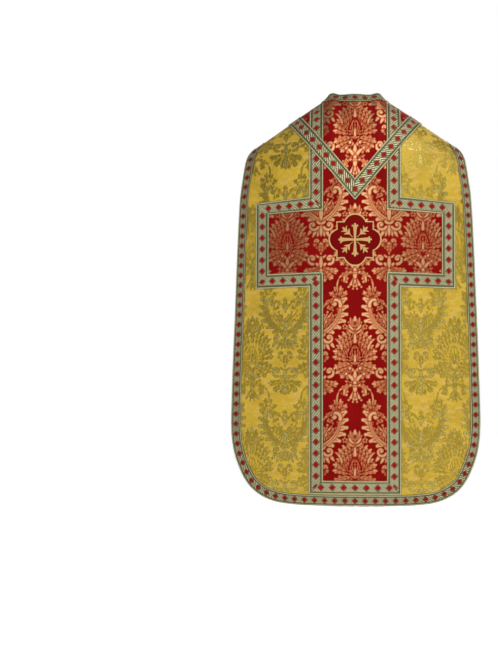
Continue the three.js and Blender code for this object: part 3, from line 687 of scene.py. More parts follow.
class Sheet:
    """A piece of cloth made of lofts between pairs of paths, welded into one sheet."""

    CORD_STEPS = (0, 0.7, 1.7, 2.7, 3.5, 4.2)
    CORD_AT, CORD_HALF, CORD_RISE = 1.9, 1.7, 0.75

    def __init__(self, name: str, cutter: Cutter, damask: Optional[Damask] = None,
                 shift: Pair = (0.0, 0.0)) -> None:
        """Start an empty piece.

        Args:
            name: the name of the piece.
            cutter: the paths' maker, whose drape the piece is laid on.
            damask: the motif woven into it, if any.
            shift: how far sideways and down the piece was cut from where the motif starts.
        """
        self.name, self.damask, self.shift = name, damask, shift
        self.cutter, self.drape = cutter, cutter.drape
        self.bm = bmesh.new()

    def loft(self, near: Array, far: Array, shares: Array, height: float,
             rise: Array | float = 0.0, values: Optional[Array] = None,
             uv: Optional[Array] = None) -> None:
        """Add cloth between two paths with as many points each.

        Args:
            near: the path at share 0.
            far: the path at share 1.
            shares: where the columns lie between them.
            height: the layer's height above the damask's face.
            rise: more height for each row and column.
            values: the "mark" attribute of each row and column; from the damask if left out.
            uv: the flat coordinates of each row and column, in millimetres; those of the weave if left out.
        """
        t = np.asarray(shares, float)[None, :, None]
        points = near[:, None, :] * (1 - t) + far[:, None, :] * t
        rows, columns = points.shape[:2]
        lift = np.full((rows, columns), float(height)) + rise
        places = self.drape.lay(points, lift) * MM
        flat = self.drape.flat(points)
        if uv is None:
            uv = np.stack([points[..., 0], -flat], -1)
        if values is None:
            values = np.zeros((rows, columns))
            if self.damask:
                values = self.damask.at(points[..., 0] - self.shift[0], flat - self.shift[1])
        mesh = bpy.data.meshes.new("loft")
        bm = bmesh.new()
        bmesh.ops.create_grid(bm, x_segments=columns - 1, y_segments=rows - 1, size=1.0)
        bm.to_mesh(mesh)
        bm.free()
        at = np.empty(len(mesh.vertices) * 3, np.float32)
        mesh.vertices.foreach_get("co", at)
        at = at.reshape(-1, 3)
        i = np.rint((at[:, 1] + 1) / 2 * (rows - 1)).astype(int)
        j = np.rint((at[:, 0] + 1) / 2 * (columns - 1)).astype(int)
        mesh.vertices.foreach_set("co", places[i, j].astype(np.float32).ravel())
        for name, kind, key, numbers in (("mark", "FLOAT", "value", values),
                                         ("outward", "FLOAT_VECTOR", "vector", self.drape.outward(points))):
            flat = numbers[i, j].astype(np.float32).ravel()
            mesh.attributes.new(name, kind, "POINT").data.foreach_set(key, flat)
        corner = np.empty(len(mesh.loops), np.int32)
        mesh.loops.foreach_get("vertex_index", corner)
        layer = mesh.uv_layers.new(name="cloth")
        layer.data.foreach_set("uv", (uv[i, j] * MM)[corner].astype(np.float32).ravel())
        turn = np.cross(points[:-1, 1:] - points[:-1, :-1], points[1:, :-1] - points[:-1, :-1]).sum()
        if turn < 0:
            mesh.flip_normals()
        self.bm.from_mesh(mesh)
        bpy.data.meshes.remove(mesh)

    def both(self, near: Array, far: Array, shares: Array, height: float) -> None:
        """Add cloth between two paths, and the same on the other half."""
        self.loft(near, far, shares, height)
        self.loft(mirrored(near), mirrored(far), shares, height)

    def ribbon(self, near: Array, far: Array, width: float, height: float,
               from_end: bool = False, shift: float = 0.0) -> None:
        """Add a stretch of galloon with two raised cords, woven along its middle line, on both halves.

        Args:
            near: the path of one long edge.
            far: the path of the other.
            width: the galloon's width.
            height: the height of its ground above the damask's face.
            from_end: whether its pattern is counted from the paths' end.
            shift: how far the first figure lies from there.
        """
        margins = np.array(self.CORD_STEPS)
        between = np.linspace(margins[-1], width - margins[-1], 5)[1:-1]
        steps = np.concatenate([margins, between, width - margins[::-1]])
        shares, inwards = steps / width, np.minimum(steps, width - steps)
        cord = self.CORD_RISE * np.sqrt(np.clip(1 - ((inwards - self.CORD_AT) / self.CORD_HALF) ** 2, 0, 1))
        for _, turn in HALVES:
            a, b = turn(near), turn(far)
            t = shares[None, :, None]
            points = a[:, None, :] * (1 - t) + b[:, None, :] * t
            places = self.drape.place(points)
            middle = (places[:, 0] + places[:, -1]) / 2
            ahead = unit(np.gradient(middle, axis=0))
            side = np.cross(self.drape.outward((a + b) / 2), ahead)
            run = self.cutter.lengths(middle)
            off = places - middle[:, None]
            along = run[:, None] + np.sum(off * ahead[:, None], -1) - (run[-1] if from_end else 0) - shift
            across = np.sum(off * side[:, None], -1)
            self.loft(a, b, shares, height, np.broadcast_to(cord, along.shape),
                      np.broadcast_to(inwards, along.shape), np.stack([across, along], -1))

    def weld(self) -> None:
        """Weld the lofts where they meet."""
        bmesh.ops.remove_doubles(self.bm, verts=self.bm.verts[:], dist=WELD)

    def _turn_in(self, depth: float) -> None:
        """Turn the sheet's border in, as its seam allowance is."""
        outward = self.bm.verts.layers.float_vector["outward"]
        border = [edge.link_loops[0] for edge in self.bm.edges if edge.is_boundary]
        inside: dict[bmesh.types.BMVert, bmesh.types.BMVert] = {}
        for loop in border:
            for vert in loop.edge.verts:
                if vert not in inside:
                    inside[vert] = self.bm.verts.new(vert.co - vert[outward] * depth * MM, vert)
        for loop in border:
            after = loop.link_loop_next
            a, b = after.vert, loop.vert
            face = self.bm.faces.new((a, b, inside[b], inside[a]), loop.face)
            for made, source in zip(face.loops, (after, loop, loop, after)):
                made.copy_from(source)

    def finish(self, stuff: Stuff, *nodes: str) -> Pieces:
        """Weld the piece and turn it into an object that stands for its solids.

        Args:
            stuff: what it is made of.
            nodes: the solids that it stands for.

        Returns:
            The object, by the name of its first solid.
        """
        self.weld()
        if stuff.turned:
            self._turn_in(stuff.turned)
        mesh = bpy.data.meshes.new(self.name)
        self.bm.to_mesh(mesh)
        self.bm.free()
        mesh.attributes.remove(mesh.attributes["outward"])
        mesh.shade_smooth()
        mesh.materials.append(stuff.material)
        piece = bpy.data.objects.new(self.name, mesh)
        bpy.context.scene.collection.objects.link(piece)
        if stuff.wall:
            shell = piece.modifiers.new("wall", "SOLIDIFY")
            shell.thickness, shell.offset = stuff.wall * MM, -1.0
        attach(piece, "root")
        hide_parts(*nodes)
        log.info("%s: %d faces", self.name, len(mesh.polygons))
        return {nodes[0]: piece}


# Finishes


class Recipe:
    """A material under construction, with short ways to add nodes."""

    def __init__(self, name: str) -> None:
        """Start a material with a shader and an output."""
        self.material = bpy.data.materials.new(name)
        self.material.use_nodes = True
        self.tree = self.material.node_tree
        self.shader = self.tree.nodes["Principled BSDF"]

    def node(self, kind: str, inputs: dict, **settings: object) -> bpy.types.Node:
        """Add a node.

        Args:
            kind: its type.
            inputs: sockets or values by input name or number.
            settings: its own properties.

        Returns:
            The node.
        """
        made = self.tree.nodes.new(kind)
        for key, value in settings.items():
            setattr(made, key, value)
        for key, value in inputs.items():
            if isinstance(value, Socket):
                self.tree.links.new(value, made.inputs[key])
            else:
                made.inputs[key].default_value = value
        return made

    def math(self, operation: str, a: object, b: object = 0.0, c: object = 0.0) -> Socket:
        """Add a sum and give its result."""
        return self.node("ShaderNodeMath", {0: a, 1: b, 2: c}, operation=operation).outputs[0]

    def add(self, a: object, b: object) -> Socket:
        """Add two values."""
        return self.math("ADD", a, b)

    def times(self, a: object, b: object, plus: object = 0.0) -> Socket:
        """Multiply two values, and add a third."""
        return self.math("MULTIPLY_ADD", a, b, plus)

    def flat(self) -> tuple[Socket, Socket]:
        """The flat cloth's coordinates, in millimetres."""
        uv = self.node("ShaderNodeUVMap", {}, uv_map="cloth").outputs[0]
        parts = self.node("ShaderNodeSeparateXYZ", {0: uv})
        return self.times(parts.outputs[0], 1 / MM), self.times(parts.outputs[1], 1 / MM)

    def mark(self) -> Socket:
        """The number that the mesh carries at each point."""
        return self.node("ShaderNodeAttribute", {}, attribute_name="mark").outputs["Fac"]

    def step(self, value: Socket, start: float, end: float) -> Socket:
        """A smooth step from 0 at start to 1 at end, where start may be the larger."""
        low, high = min(start, end), max(start, end)
        first = 0.0 if start < end else 1.0
        return self.node("ShaderNodeMapRange", {0: value, 1: low, 2: high, 3: first, 4: 1.0 - first},
                         interpolation_type="SMOOTHSTEP").outputs[0]

    def mix(self, share: object, a: object, b: object, blend: str = "MIX") -> Socket:
        """Mix two colours, each a socket or three numbers."""
        made = self.tree.nodes.new("ShaderNodeMix")
        made.data_type, made.blend_type = "RGBA", blend
        for key, value in ((0, share), (6, a), (7, b)):
            if isinstance(value, Socket):
                self.tree.links.new(value, made.inputs[key])
            else:
                made.inputs[key].default_value = value if key == 0 else (*value, 1.0)
        return made.outputs[2]

    def noise(self, size: float, detail: float = 2.0, stretch: Pair = (1.0, 1.0)) -> Socket:
        """Noise in the cloth's plane with blots of a size in millimetres."""
        u, v = self.flat()
        at = self.node("ShaderNodeCombineXYZ", {0: self.times(u, stretch[0] / size),
                                                1: self.times(v, stretch[1] / size)}).outputs[0]
        return self.node("ShaderNodeTexNoise", {"Vector": at, "Scale": 1.0, "Detail": detail}).outputs[0]

    def wave(self, along: Socket, period: float) -> Socket:
        """A wave between 0 and 1 along a coordinate."""
        return self.times(self.math("SINE", self.times(along, 2 * math.pi / period)), 0.5, 0.5)

    def link(self, name: str, value: object) -> None:
        """Set or link one of the shader's inputs."""
        if isinstance(value, Socket):
            self.tree.links.new(value, self.shader.inputs[name])
        else:
            self.shader.inputs[name].default_value = value

    def paint(self, colour: Socket, slub: Socket, gain: float, least: float) -> None:
        """Set the base colour, darker and lighter as the threads' thickness goes."""
        tone = self.times(slub, gain, least)
        grey = self.node("ShaderNodeCombineColor", {0: tone, 1: tone, 2: tone}).outputs[0]
        self.link("Base Color", self.mix(1.0, colour, grey, "MULTIPLY"))

    def gloss(self, level: float, tint: Rgb) -> None:
        """Set how strongly the threads shine, and in which colour."""
        self.link("Specular IOR Level", level)
        self.link("Specular Tint", (*tint, 1.0))

    def bump(self, height: Socket, depth: float, strength: float) -> None:
        """Raise the surface by a height between 0 and 1, with a depth in millimetres."""
        made = self.node("ShaderNodeBump", {"Height": height, "Distance": depth * MM, "Strength": strength})
        self.link("Normal", made.outputs[0])


@dataclass(frozen=True)
class DamaskFinish:
    """Silk damask: a satin ground and a motif whose threads lie the other way and catch the light."""

    THREAD = 0.9

    name: str
    ground: Rgb
    ground_deep: Rgb
    motif: Rgb
    motif_deep: Rgb
    blush: Rgb
    blush_share: float
    ground_rough: float
    motif_rough: float
    motif_metal: float
    shine: float
    tint: Rgb
    broken: float

    def make(self) -> Material:
        """The material."""
        r = Recipe(self.name)
        u, v = r.flat()
        inside = r.step(r.mark(), 0.45, -0.45)
        slub = r.noise(4.6, 3.0, (2.0, 0.45))
        patch = r.step(r.noise(20.0, 5.0, (0.7, 1.8)), 0.48, 0.62)
        threads = r.step(r.noise(4.2, 2.0, (1.0, 0.7)), 0.36, 0.6)
        core = r.times(r.step(r.mark(), -0.6, -2.1), r.times(threads, self.broken, 1 - self.broken))
        ground = r.mix(r.step(r.noise(70.0), 0.3, 0.7), self.ground, self.ground_deep)
        ground = r.mix(r.times(patch, self.blush_share), ground, self.blush)
        r.paint(r.mix(inside, ground, r.mix(core, self.motif_deep, self.motif)), slub, 0.6, 0.7)
        r.link("Roughness", r.times(inside, self.motif_rough - self.ground_rough, self.ground_rough))
        r.link("Metallic", r.times(inside, self.motif_metal))
        r.gloss(self.shine, self.tint)
        warp, weft = r.wave(u, self.THREAD), r.wave(v, self.THREAD)
        weave = r.add(r.times(warp, r.math("SUBTRACT", 1.0, inside)), r.times(weft, inside))
        height = r.times(inside, 0.7, r.times(weave, 0.3))
        r.bump(r.times(slub, 0.5, height), 0.22, 0.7)
        return r.material


@dataclass(frozen=True)
class GalloonFinish:
    """Woven galloon: cords along both edges, a metallic ground, red diamonds between slanted ribs, painted
    shade in the grooves beside the cords and painted shadow along both long edges.
    """

    TWILL_DEEP, TWILL = (0.08, 0.073, 0.030), (0.25, 0.232, 0.11)
    RIM, BETWEEN = (0.10, 0.085, 0.045), (0.06, 0.054, 0.024)
    RIB, RED = (0.77, 0.72, 0.44), (0.29, 0.004, 0.006)
    # painted shade: the groove colour darkens the flat band just inside each cord, as a groove in shade
    # looks; the mesh has no groove there
    GROOVE, OUTSIDE = (0.075, 0.07, 0.03), (0.07, 0.055, 0.02)
    BEAD_DEEP, BEAD = (0.09, 0.08, 0.028), (0.86, 0.82, 0.5)

    name: str
    pitch: float
    diamond: Pair
    field: float
    ribs: float
    light: float

    def make(self) -> Material:
        """The material."""
        r = Recipe(self.name)
        across, along = r.flat()
        edge = r.mark()
        tall, wide = self.diamond
        off = r.math("ABSOLUTE", across)
        cell = r.math("SUBTRACT", r.math("FRACT", r.times(along, 1 / self.pitch, 0.5)), 0.5)
        near = r.math("ABSOLUTE", r.times(cell, self.pitch))
        rhomb = r.times(off, tall / wide, near)
        red = r.step(rhomb, tall + 0.5, tall - 0.5)
        rim = r.math("SUBTRACT", r.step(rhomb, tall + 2.6, tall + 1.8), red)
        slant = r.add(r.times(cell, self.pitch, across), self.pitch / 2)
        between = r.step(r.times(off, 0.8, near), tall + 1.0, tall + 2.0)
        rib = r.times(between, r.step(off, self.field + 0.5, self.field - 0.5))
        rib = r.times(r.step(r.wave(slant, self.ribs), 0.56, 0.82), rib)
        twill = r.step(r.wave(r.add(along, across), 2.9), 0.3, 0.75)
        cord = r.step(edge, 3.8, 3.4)
        # painted shade in the groove beside each cord, about 4.4 mm in from the galloon's edge
        groove_shade = r.step(r.math("ABSOLUTE", r.math("SUBTRACT", edge, 4.4)), 0.9, 0.4)
        bead = r.step(r.wave(r.times(edge, 0.8, along), 3.9), 0.25, 0.6)
        colour = r.mix(twill, self.TWILL_DEEP, self.TWILL)
        layers = ((r.times(rim, 0.5), self.RIM), (r.times(between, 0.42), self.BETWEEN), (rib, self.RIB),
                  (red, self.RED), (groove_shade, self.GROOVE), (cord, r.mix(bead, self.BEAD_DEEP, self.BEAD)),
                  # the last millimetre at each long edge: a dark edge line, partly the galloon's own colour
                  # and partly painted shadow
                  (r.step(edge, 1.0, 0.5), self.OUTSIDE))
        for share, other in layers:
            colour = r.mix(share, colour, other)
        r.paint(colour, r.noise(5.0, 3.0), 1.1, self.light)
        r.link("Metallic", r.times(r.math("SUBTRACT", 1.0, red), 0.4))
        r.link("Roughness", 0.4)
        r.gloss(0.15, (1.0, 0.6, 0.5))
        height = r.math("MAXIMUM", r.times(rib, 0.5, r.times(twill, 0.35)), r.times(red, 0.8))
        r.bump(r.times(r.times(cord, bead), 0.9, height), 0.5, 0.9)
        return r.material


@dataclass(frozen=True)
class SatinFinish:
    """Plain satin lining."""

    name: str
    colour: Rgb
    shade: Rgb

    def make(self) -> Material:
        """The material."""
        r = Recipe(self.name)
        u, _ = r.flat()
        slub, cloud = r.noise(2.4, 3.0, (3.0, 0.25)), r.noise(55.0, 3.0)
        colour = r.mix(r.step(cloud, 0.3, 0.75), self.colour, self.shade)
        r.link("Base Color", r.mix(r.times(slub, 0.35), colour, self.shade))
        r.link("Roughness", r.times(slub, 0.2, 0.4))
        r.gloss(0.25, (1.0, 0.7, 0.4))
        r.bump(r.times(cloud, 2.5, r.times(r.wave(u, 0.8), 0.3)), 0.35, 0.6)
        return r.material


@dataclass(frozen=True)
class MedallionFinish:
    """Crimson ground with work in gold thread, whose stitches the mark tells apart."""

    name: str
    ground: Rgb
    gold: Rgb
    gold_deep: Rgb

    def make(self) -> Material:
        """The material."""
        r = Recipe(self.name)
        u, v = r.flat()
        mark = r.mark()
        gold = r.step(mark, 0.35, 0.65)
        stitch, slub = r.wave(r.add(u, v), 1.3), r.noise(2.0)
        ground = r.mix(slub, self.ground, tuple(0.6 * c for c in self.ground))
        thread = r.mix(r.times(stitch, r.step(mark, 1.4, 0.6)), self.gold, self.gold_deep)
        r.link("Base Color", r.mix(gold, ground, thread))
        r.link("Metallic", r.times(gold, 0.4))
        r.link("Roughness", 0.45)
        r.gloss(0.12, (1.0, 0.3, 0.25))
        r.bump(r.times(r.times(stitch, gold), 0.6, r.times(slub, 0.3)), 0.3, 0.8)
        return r.material


GOLD_DAMASK = DamaskFinish(
    name="gold_damask", ground=(0.57, 0.372, 0.024), ground_deep=(0.48, 0.305, 0.018),
    motif=(0.53, 0.46, 0.155), motif_deep=(0.36, 0.25, 0.03), blush=(0.62, 0.39, 0.10), blush_share=0.55,
    ground_rough=0.44, motif_rough=0.31, motif_metal=0.8, shine=0.5, tint=(1.0, 0.97, 0.62), broken=1.0)
RED_DAMASK = DamaskFinish(
    name="red_damask", ground=(0.235, 0.0018, 0.002), ground_deep=(0.185, 0.0011, 0.0013),
    motif=(0.575, 0.335, 0.165), motif_deep=(0.42, 0.14, 0.055), blush=(0.3, 0.003, 0.004), blush_share=0.0,
    ground_rough=0.55, motif_rough=0.34, motif_metal=0.88, shine=0.14, tint=(1.0, 0.3, 0.25), broken=0.2)
WIDE_GALLOON = GalloonFinish("wide_galloon", pitch=30.7, diamond=(8.8, 7.0), field=11.5, ribs=7.2, light=0.43)
EDGE_GALLOON = GalloonFinish("edge_galloon", pitch=27.4, diamond=(7.8, 6.0), field=8.0, ribs=6.4, light=0.27)
LINING = SatinFinish("lining", (0.58, 0.19, 0.016), (0.42, 0.125, 0.01))
MEDALLION = MedallionFinish("medallion", (0.2, 0.001, 0.002), (0.68, 0.45, 0.18), (0.36, 0.19, 0.05))


# The garment's pieces


@dataclass
class Walls:
    """The damask walls and their linings, front and back."""

    CUT_AT = {Side.BACK: (98.0, 0.0), Side.FRONT: (98.0, 183.0)}

    cutter: Cutter
    damask: Damask
    covered: float = 119.0
    fine: float = 2.7
    coarse: float = 15.0

    def _halves(self, side: Side, sheet: Sheet, height: float, fine: float, path: Array) -> None:
        """Loft one side from its middle to its edge, denser outside what the orphrey covers."""
        rim = self.cutter.rims[side]
        low = abs(rim[-1, 1])
        inner = np.interp(np.abs(path[:, 1]), np.abs(rim[:, 1]), rim[:, 0])
        middle = np.stack([np.where(np.abs(path[:, 1]) < low, inner, 0.0), path[:, 1]], 1)
        split = np.stack([np.minimum(self.covered, 0.999 * path[:, 0] + 0.001 * middle[:, 0]), path[:, 1]], 1)
        outer = int(np.max(path[:, 0] - self.covered) / fine)
        sheet.both(middle, split, np.linspace(0, 1, max(3, int(self.covered / self.coarse))), height)
        sheet.both(split, path, np.linspace(0, 1, max(outer, 6)), height)

    def _rows(self, side: Side, step: float) -> Array:
        """The side's edge with points as far apart as its rows, and two at the neck's lowest point."""
        path = self.cutter.even(self.cutter.edges[side], step)
        low = abs(self.cutter.rims[side][-1, 1])
        at = np.abs(path[:, 1])
        for q in (low - 0.4, low + 0.4):
            i = int(np.searchsorted(at, q))
            t = (q - at[i - 1]) / (at[i] - at[i - 1])
            path = np.insert(path, i, path[i - 1] + t * (path[i] - path[i - 1]), 0)
            at = np.abs(path[:, 1])
        return path

    def build(self, gold: Stuff, satin: Stuff) -> Pieces:
        """Build both walls and both linings."""
        made = {}
        for side in Side:
            name = side.name.lower()
            cloth = Sheet(f"{name}_damask", self.cutter, self.damask, self.CUT_AT[side])
            self._halves(side, cloth, 0.0, self.fine, self._rows(side, self.fine))
            made |= cloth.finish(gold, f"{name}_cloth")
            lining = Sheet(f"{name}_satin", self.cutter)
            self._halves(side, lining, LINING_AT, 12.0, self._rows(side, 8.0))
            made |= lining.finish(satin, f"{name}_lining")
        return made


@dataclass
class BackOrphrey:
    """The red cross on the back with its galloon, the V over it and the wedges beside it."""

    cutter: Cutter
    damask: Damask
    outer: float = 125.0
    inner: float = 86.0
    arm_end: float = 273.0
    arm_red_end: float = 236.0
    bottom: float = -1091.0
    red_bottom: float = -1054.0
    pitch: float = 2.1
    braid: float = 38.0
    vee_braid: float = 39.0
    vee_crest: Pair = (152.0, 186.0)
    vee_tip: Pair = (-235.0, -296.0)
    wedge: Pair = (168.0, -112.0)

    def _red(self) -> Sheet:
        """The cross itself, from the neck's rim down."""
        cut, half, arm = self.cutter, self.inner - GAP, self.arm_red_end - GAP
        sheet = Sheet("back_cross", cut, self.damask)
        count = int(half / self.pitch)
        middle = np.linspace(-half, half, 2 * count + 1)
        wing = np.linspace(half, arm, int((arm - half) / self.pitch))[1:]
        xs = np.concatenate([-wing[::-1], middle, wing])
        top = cut.level(Side.BACK, -321 - GAP, xs, 9, half)
        low = cut.level(Side.BACK, -490 + GAP, xs, 4, half)
        rim = cut.rims[Side.BACK]
        row, low_rim = 140.0, rim[-1, 1]
        q = np.concatenate([np.linspace(SEAM, row, int(row / self.pitch)), [low_rim - 0.4, low_rim + 0.4]])
        q = np.unique(q)
        edge = np.where(q < low_rim, np.interp(q, rim[:, 1], rim[:, 0]), 0.0)
        sheet.both(np.stack([edge, q], 1), np.stack([np.full(len(q), half), q], 1),
                   np.linspace(0, 1, count + 1), RED_AT)
        within = np.abs(xs) < half + 0.01
        first = np.stack([middle, np.full(len(middle), row)], 1)
        foot = cut.level(Side.BACK, self.red_bottom + GAP, middle)
        for upper, lower, reach in ((first, top[within], 190), (top, low, 170), (low[within], foot, 566)):
            sheet.loft(upper, lower, np.linspace(0, 1, int(reach / self.pitch)), RED_AT)
        return sheet

    def _border(self) -> Sheet:
        """The galloon round the cross, one stretch between each two mitres."""
        outer = [on_crest(self.outer), (self.outer, -285), (self.arm_end, -299), (self.arm_end, -535),
                 (self.outer, -531), (self.outer, self.bottom), (0, self.bottom)]
        inner = [on_crest(self.inner), (self.inner, -321), (self.arm_red_end, -330), (self.arm_red_end, -494),
                 (self.inner, -490), (self.inner, self.red_bottom), (0, self.red_bottom)]
        marks = [(True, 0.0), (False, 14.4), (False, 18.5), (False, 0.0), (True, 0.0), (True, 0.0)]
        sheet = Sheet("back_cross_galloon", self.cutter)
        for k, (from_end, shift) in enumerate(marks):
            near, far = self.cutter.rails(Side.BACK, outer[k:k + 2], inner[k:k + 2])
            sheet.ribbon(near, far, self.braid, GALLOON_AT, from_end, shift)
        return sheet

    def _vee(self) -> Sheet:
        """The V of galloon over the cross."""
        sheet = Sheet("back_v_galloon", self.cutter)
        outer, inner = [[on_crest(self.vee_crest[k]), (0, self.vee_tip[k])] for k in (1, 0)]
        sheet.ribbon(*self.cutter.rails(Side.BACK, outer, inner), self.vee_braid, OVER_AT, True)
        return sheet

    def build(self, red: Stuff, galloon: Stuff) -> Pieces:
        """Build the cross, its galloon, the V and the two wedges."""
        made = self._red().finish(red, "back_orphrey")
        made |= self._border().finish(galloon, "galloon_back_cross")
        made |= self._vee().finish(galloon, "galloon_back_v")
        xs = np.linspace(self.outer + GAP, self.wedge[0], 22)
        tip = self.cutter.drape.at_height(Side.BACK, np.array([[xs[0], self.wedge[1]]]))[0, 1]
        share = (xs - xs[0]) / (xs[-1] - xs[0])
        upper = np.stack([xs, np.full(len(xs), SEAM)], 1)
        lower = np.stack([xs, np.maximum(tip + (SEAM - tip) * share, SEAM + 0.02)], 1)
        for half, turn in HALVES:
            sheet = Sheet(f"wedge_{half}_damask", self.cutter, self.damask)
            sheet.loft(turn(upper), turn(lower), np.linspace(0, 1, 36), RED_AT)
            made |= sheet.finish(red, f"back_wedge_{half}")
        return made


@dataclass
class FrontOrphrey:
    """The red column on the front, the bar over it and the strips beside the neck opening."""

    cutter: Cutter
    damask: Damask
    outer: float = 121.0
    inner: float = 84.0
    top: float = -286.0
    bottom: float = -1026.0
    red_bottom: float = -991.0
    bar_top: float = -258.0
    bar_bottom: float = -296.0
    bar_half: float = 173.0
    pitch: float = 2.2
    braid: float = 38.0
    column_braid: float = 36.5

    def _strips(self, red: Stuff, galloon: Stuff) -> Pieces:
        """The strips beside the neck opening and their galloons."""
        made: Pieces = {}
        neck = [on_crest(73.0), (63.0, -56.0), (14.7, -264.0)]
        inside = [on_crest(150 - GAP), (140 - GAP, -88), (91 - GAP, -268)]
        border = [on_crest(150.0), (140.0, -88.0), (91.0, -268.0)]
        outer = [on_crest(184.0), (180.5, -88.0), (133.0, -268.0)]
        near, far = self.cutter.rails(Side.FRONT, inside, neck, self.pitch)
        for half, turn in HALVES:
            sheet = Sheet(f"front_strip_{half}_damask", self.cutter, self.damask)
            sheet.loft(turn(near), turn(far), np.linspace(0, 1, 36), RED_AT)
            made |= sheet.finish(red, f"front_strip_{half}")
        sheet = Sheet("front_strip_galloons", self.cutter)
        sheet.ribbon(*self.cutter.rails(Side.FRONT, border, outer), self.braid, GALLOON_AT)
        return made | sheet.finish(galloon, "galloon_strip_left", "galloon_strip_right")

    def build(self, red: Stuff, galloon: Stuff) -> Pieces:
        """Build the column, its galloon, the bar and the strips."""
        cut = self.cutter
        xs = np.linspace(-self.inner + GAP, self.inner - GAP, int(2 * self.inner / self.pitch))
        sheet = Sheet("front_column_damask", cut, self.damask, (0.0, 71.0))
        sheet.loft(cut.level(Side.FRONT, self.top, xs), cut.level(Side.FRONT, self.red_bottom + GAP, xs),
                   np.linspace(0, 1, int((self.top - self.red_bottom) / self.pitch)), RED_AT)
        made = sheet.finish(red, "front_orphrey")
        outer = [(self.outer, self.top), (self.outer, self.bottom), (0, self.bottom)]
        inner = [(self.inner, self.top), (self.inner, self.red_bottom), (0, self.red_bottom)]
        border = Sheet("front_column_galloon", cut)
        for k in range(2):
            border.ribbon(*cut.rails(Side.FRONT, outer[k:k + 2], inner[k:k + 2]), self.column_braid,
                          GALLOON_AT, True)
        made |= border.finish(galloon, "galloon_front_column")
        half = np.linspace(self.bar_half, 0, 36)
        bar = Sheet("front_bar_galloon", cut)
        bar.ribbon(*(cut.level(Side.FRONT, z, half, 7, 40, 1.5) for z in (self.bar_top, self.bar_bottom)),
                   self.braid, OVER_AT, True)
        made |= bar.finish(galloon, "galloon_front_bar")
        return made | self._strips(red, galloon)


@dataclass
class EdgeGalloons:
    """The narrower galloon along the front's and the back's edges and round the neck."""

    cutter: Cutter
    width: float = 29.0
    at_crest: float = 26.0

    def _edge(self, side: Side, name: str) -> Sheet:
        """The galloon from the middle of a hem up to the shoulder's seam, on both halves."""
        path = self.cutter.even(self.cutter.edges[side], 5.0)
        inner = self.cutter.beside(path, side.value * self.width)
        inner[0] = (path[0, 0] - self.at_crest, side.value * SEAM)
        clear = int(np.argmax(side.value * inner[1:, 1] > self.width / 2)) + 1
        t = np.arange(clear + 1)[:, None] / clear
        inner[:clear + 1] = inner[0] + t * (inner[clear] - inner[0])
        inner[-1, 0] = 0
        sheet = Sheet(name, self.cutter)
        sheet.ribbon(path, inner, self.width, GALLOON_AT, True)
        return sheet

    def _neck(self) -> Sheet:
        """The galloon from the front's slot up over the shoulder and round to the middle of the back."""
        cut = self.cutter
        rim = np.vstack([cut.rims[Side.FRONT][1:][::-1], [[cut.NECK_HALF, 0.0]], cut.rims[Side.BACK][1:]])
        rim[-1, 0] = 0
        rim = cut.even(rim, 5.0)
        inner = cut.beside(rim, -self.width)
        inner[-1, 0] = 0
        inner[0] = cut.drape.at_height(Side.FRONT, np.array([[41.0, -257.1]]))[0]
        sheet = Sheet("neck_galloon", cut)
        sheet.ribbon(rim, inner, self.width, OVER_AT, True)
        return sheet

    def build(self, galloon: Stuff) -> Pieces:
        """Build all three."""
        made = {}
        for side in Side:
            name = side.name.lower()
            made |= self._edge(side, f"{name}_edge_braid").finish(galloon, f"galloon_{name}_edge")
        return made | self._neck().finish(galloon, "galloon_neck")


def quarters(points: Array) -> list[Array]:
    """Points of a plane turned about its origin by each quarter turn."""
    turns = [(math.cos(k * math.pi / 2), math.sin(k * math.pi / 2)) for k in range(4)]
    return [points @ np.array([[c, s], [-s, c]]) for c, s in turns]


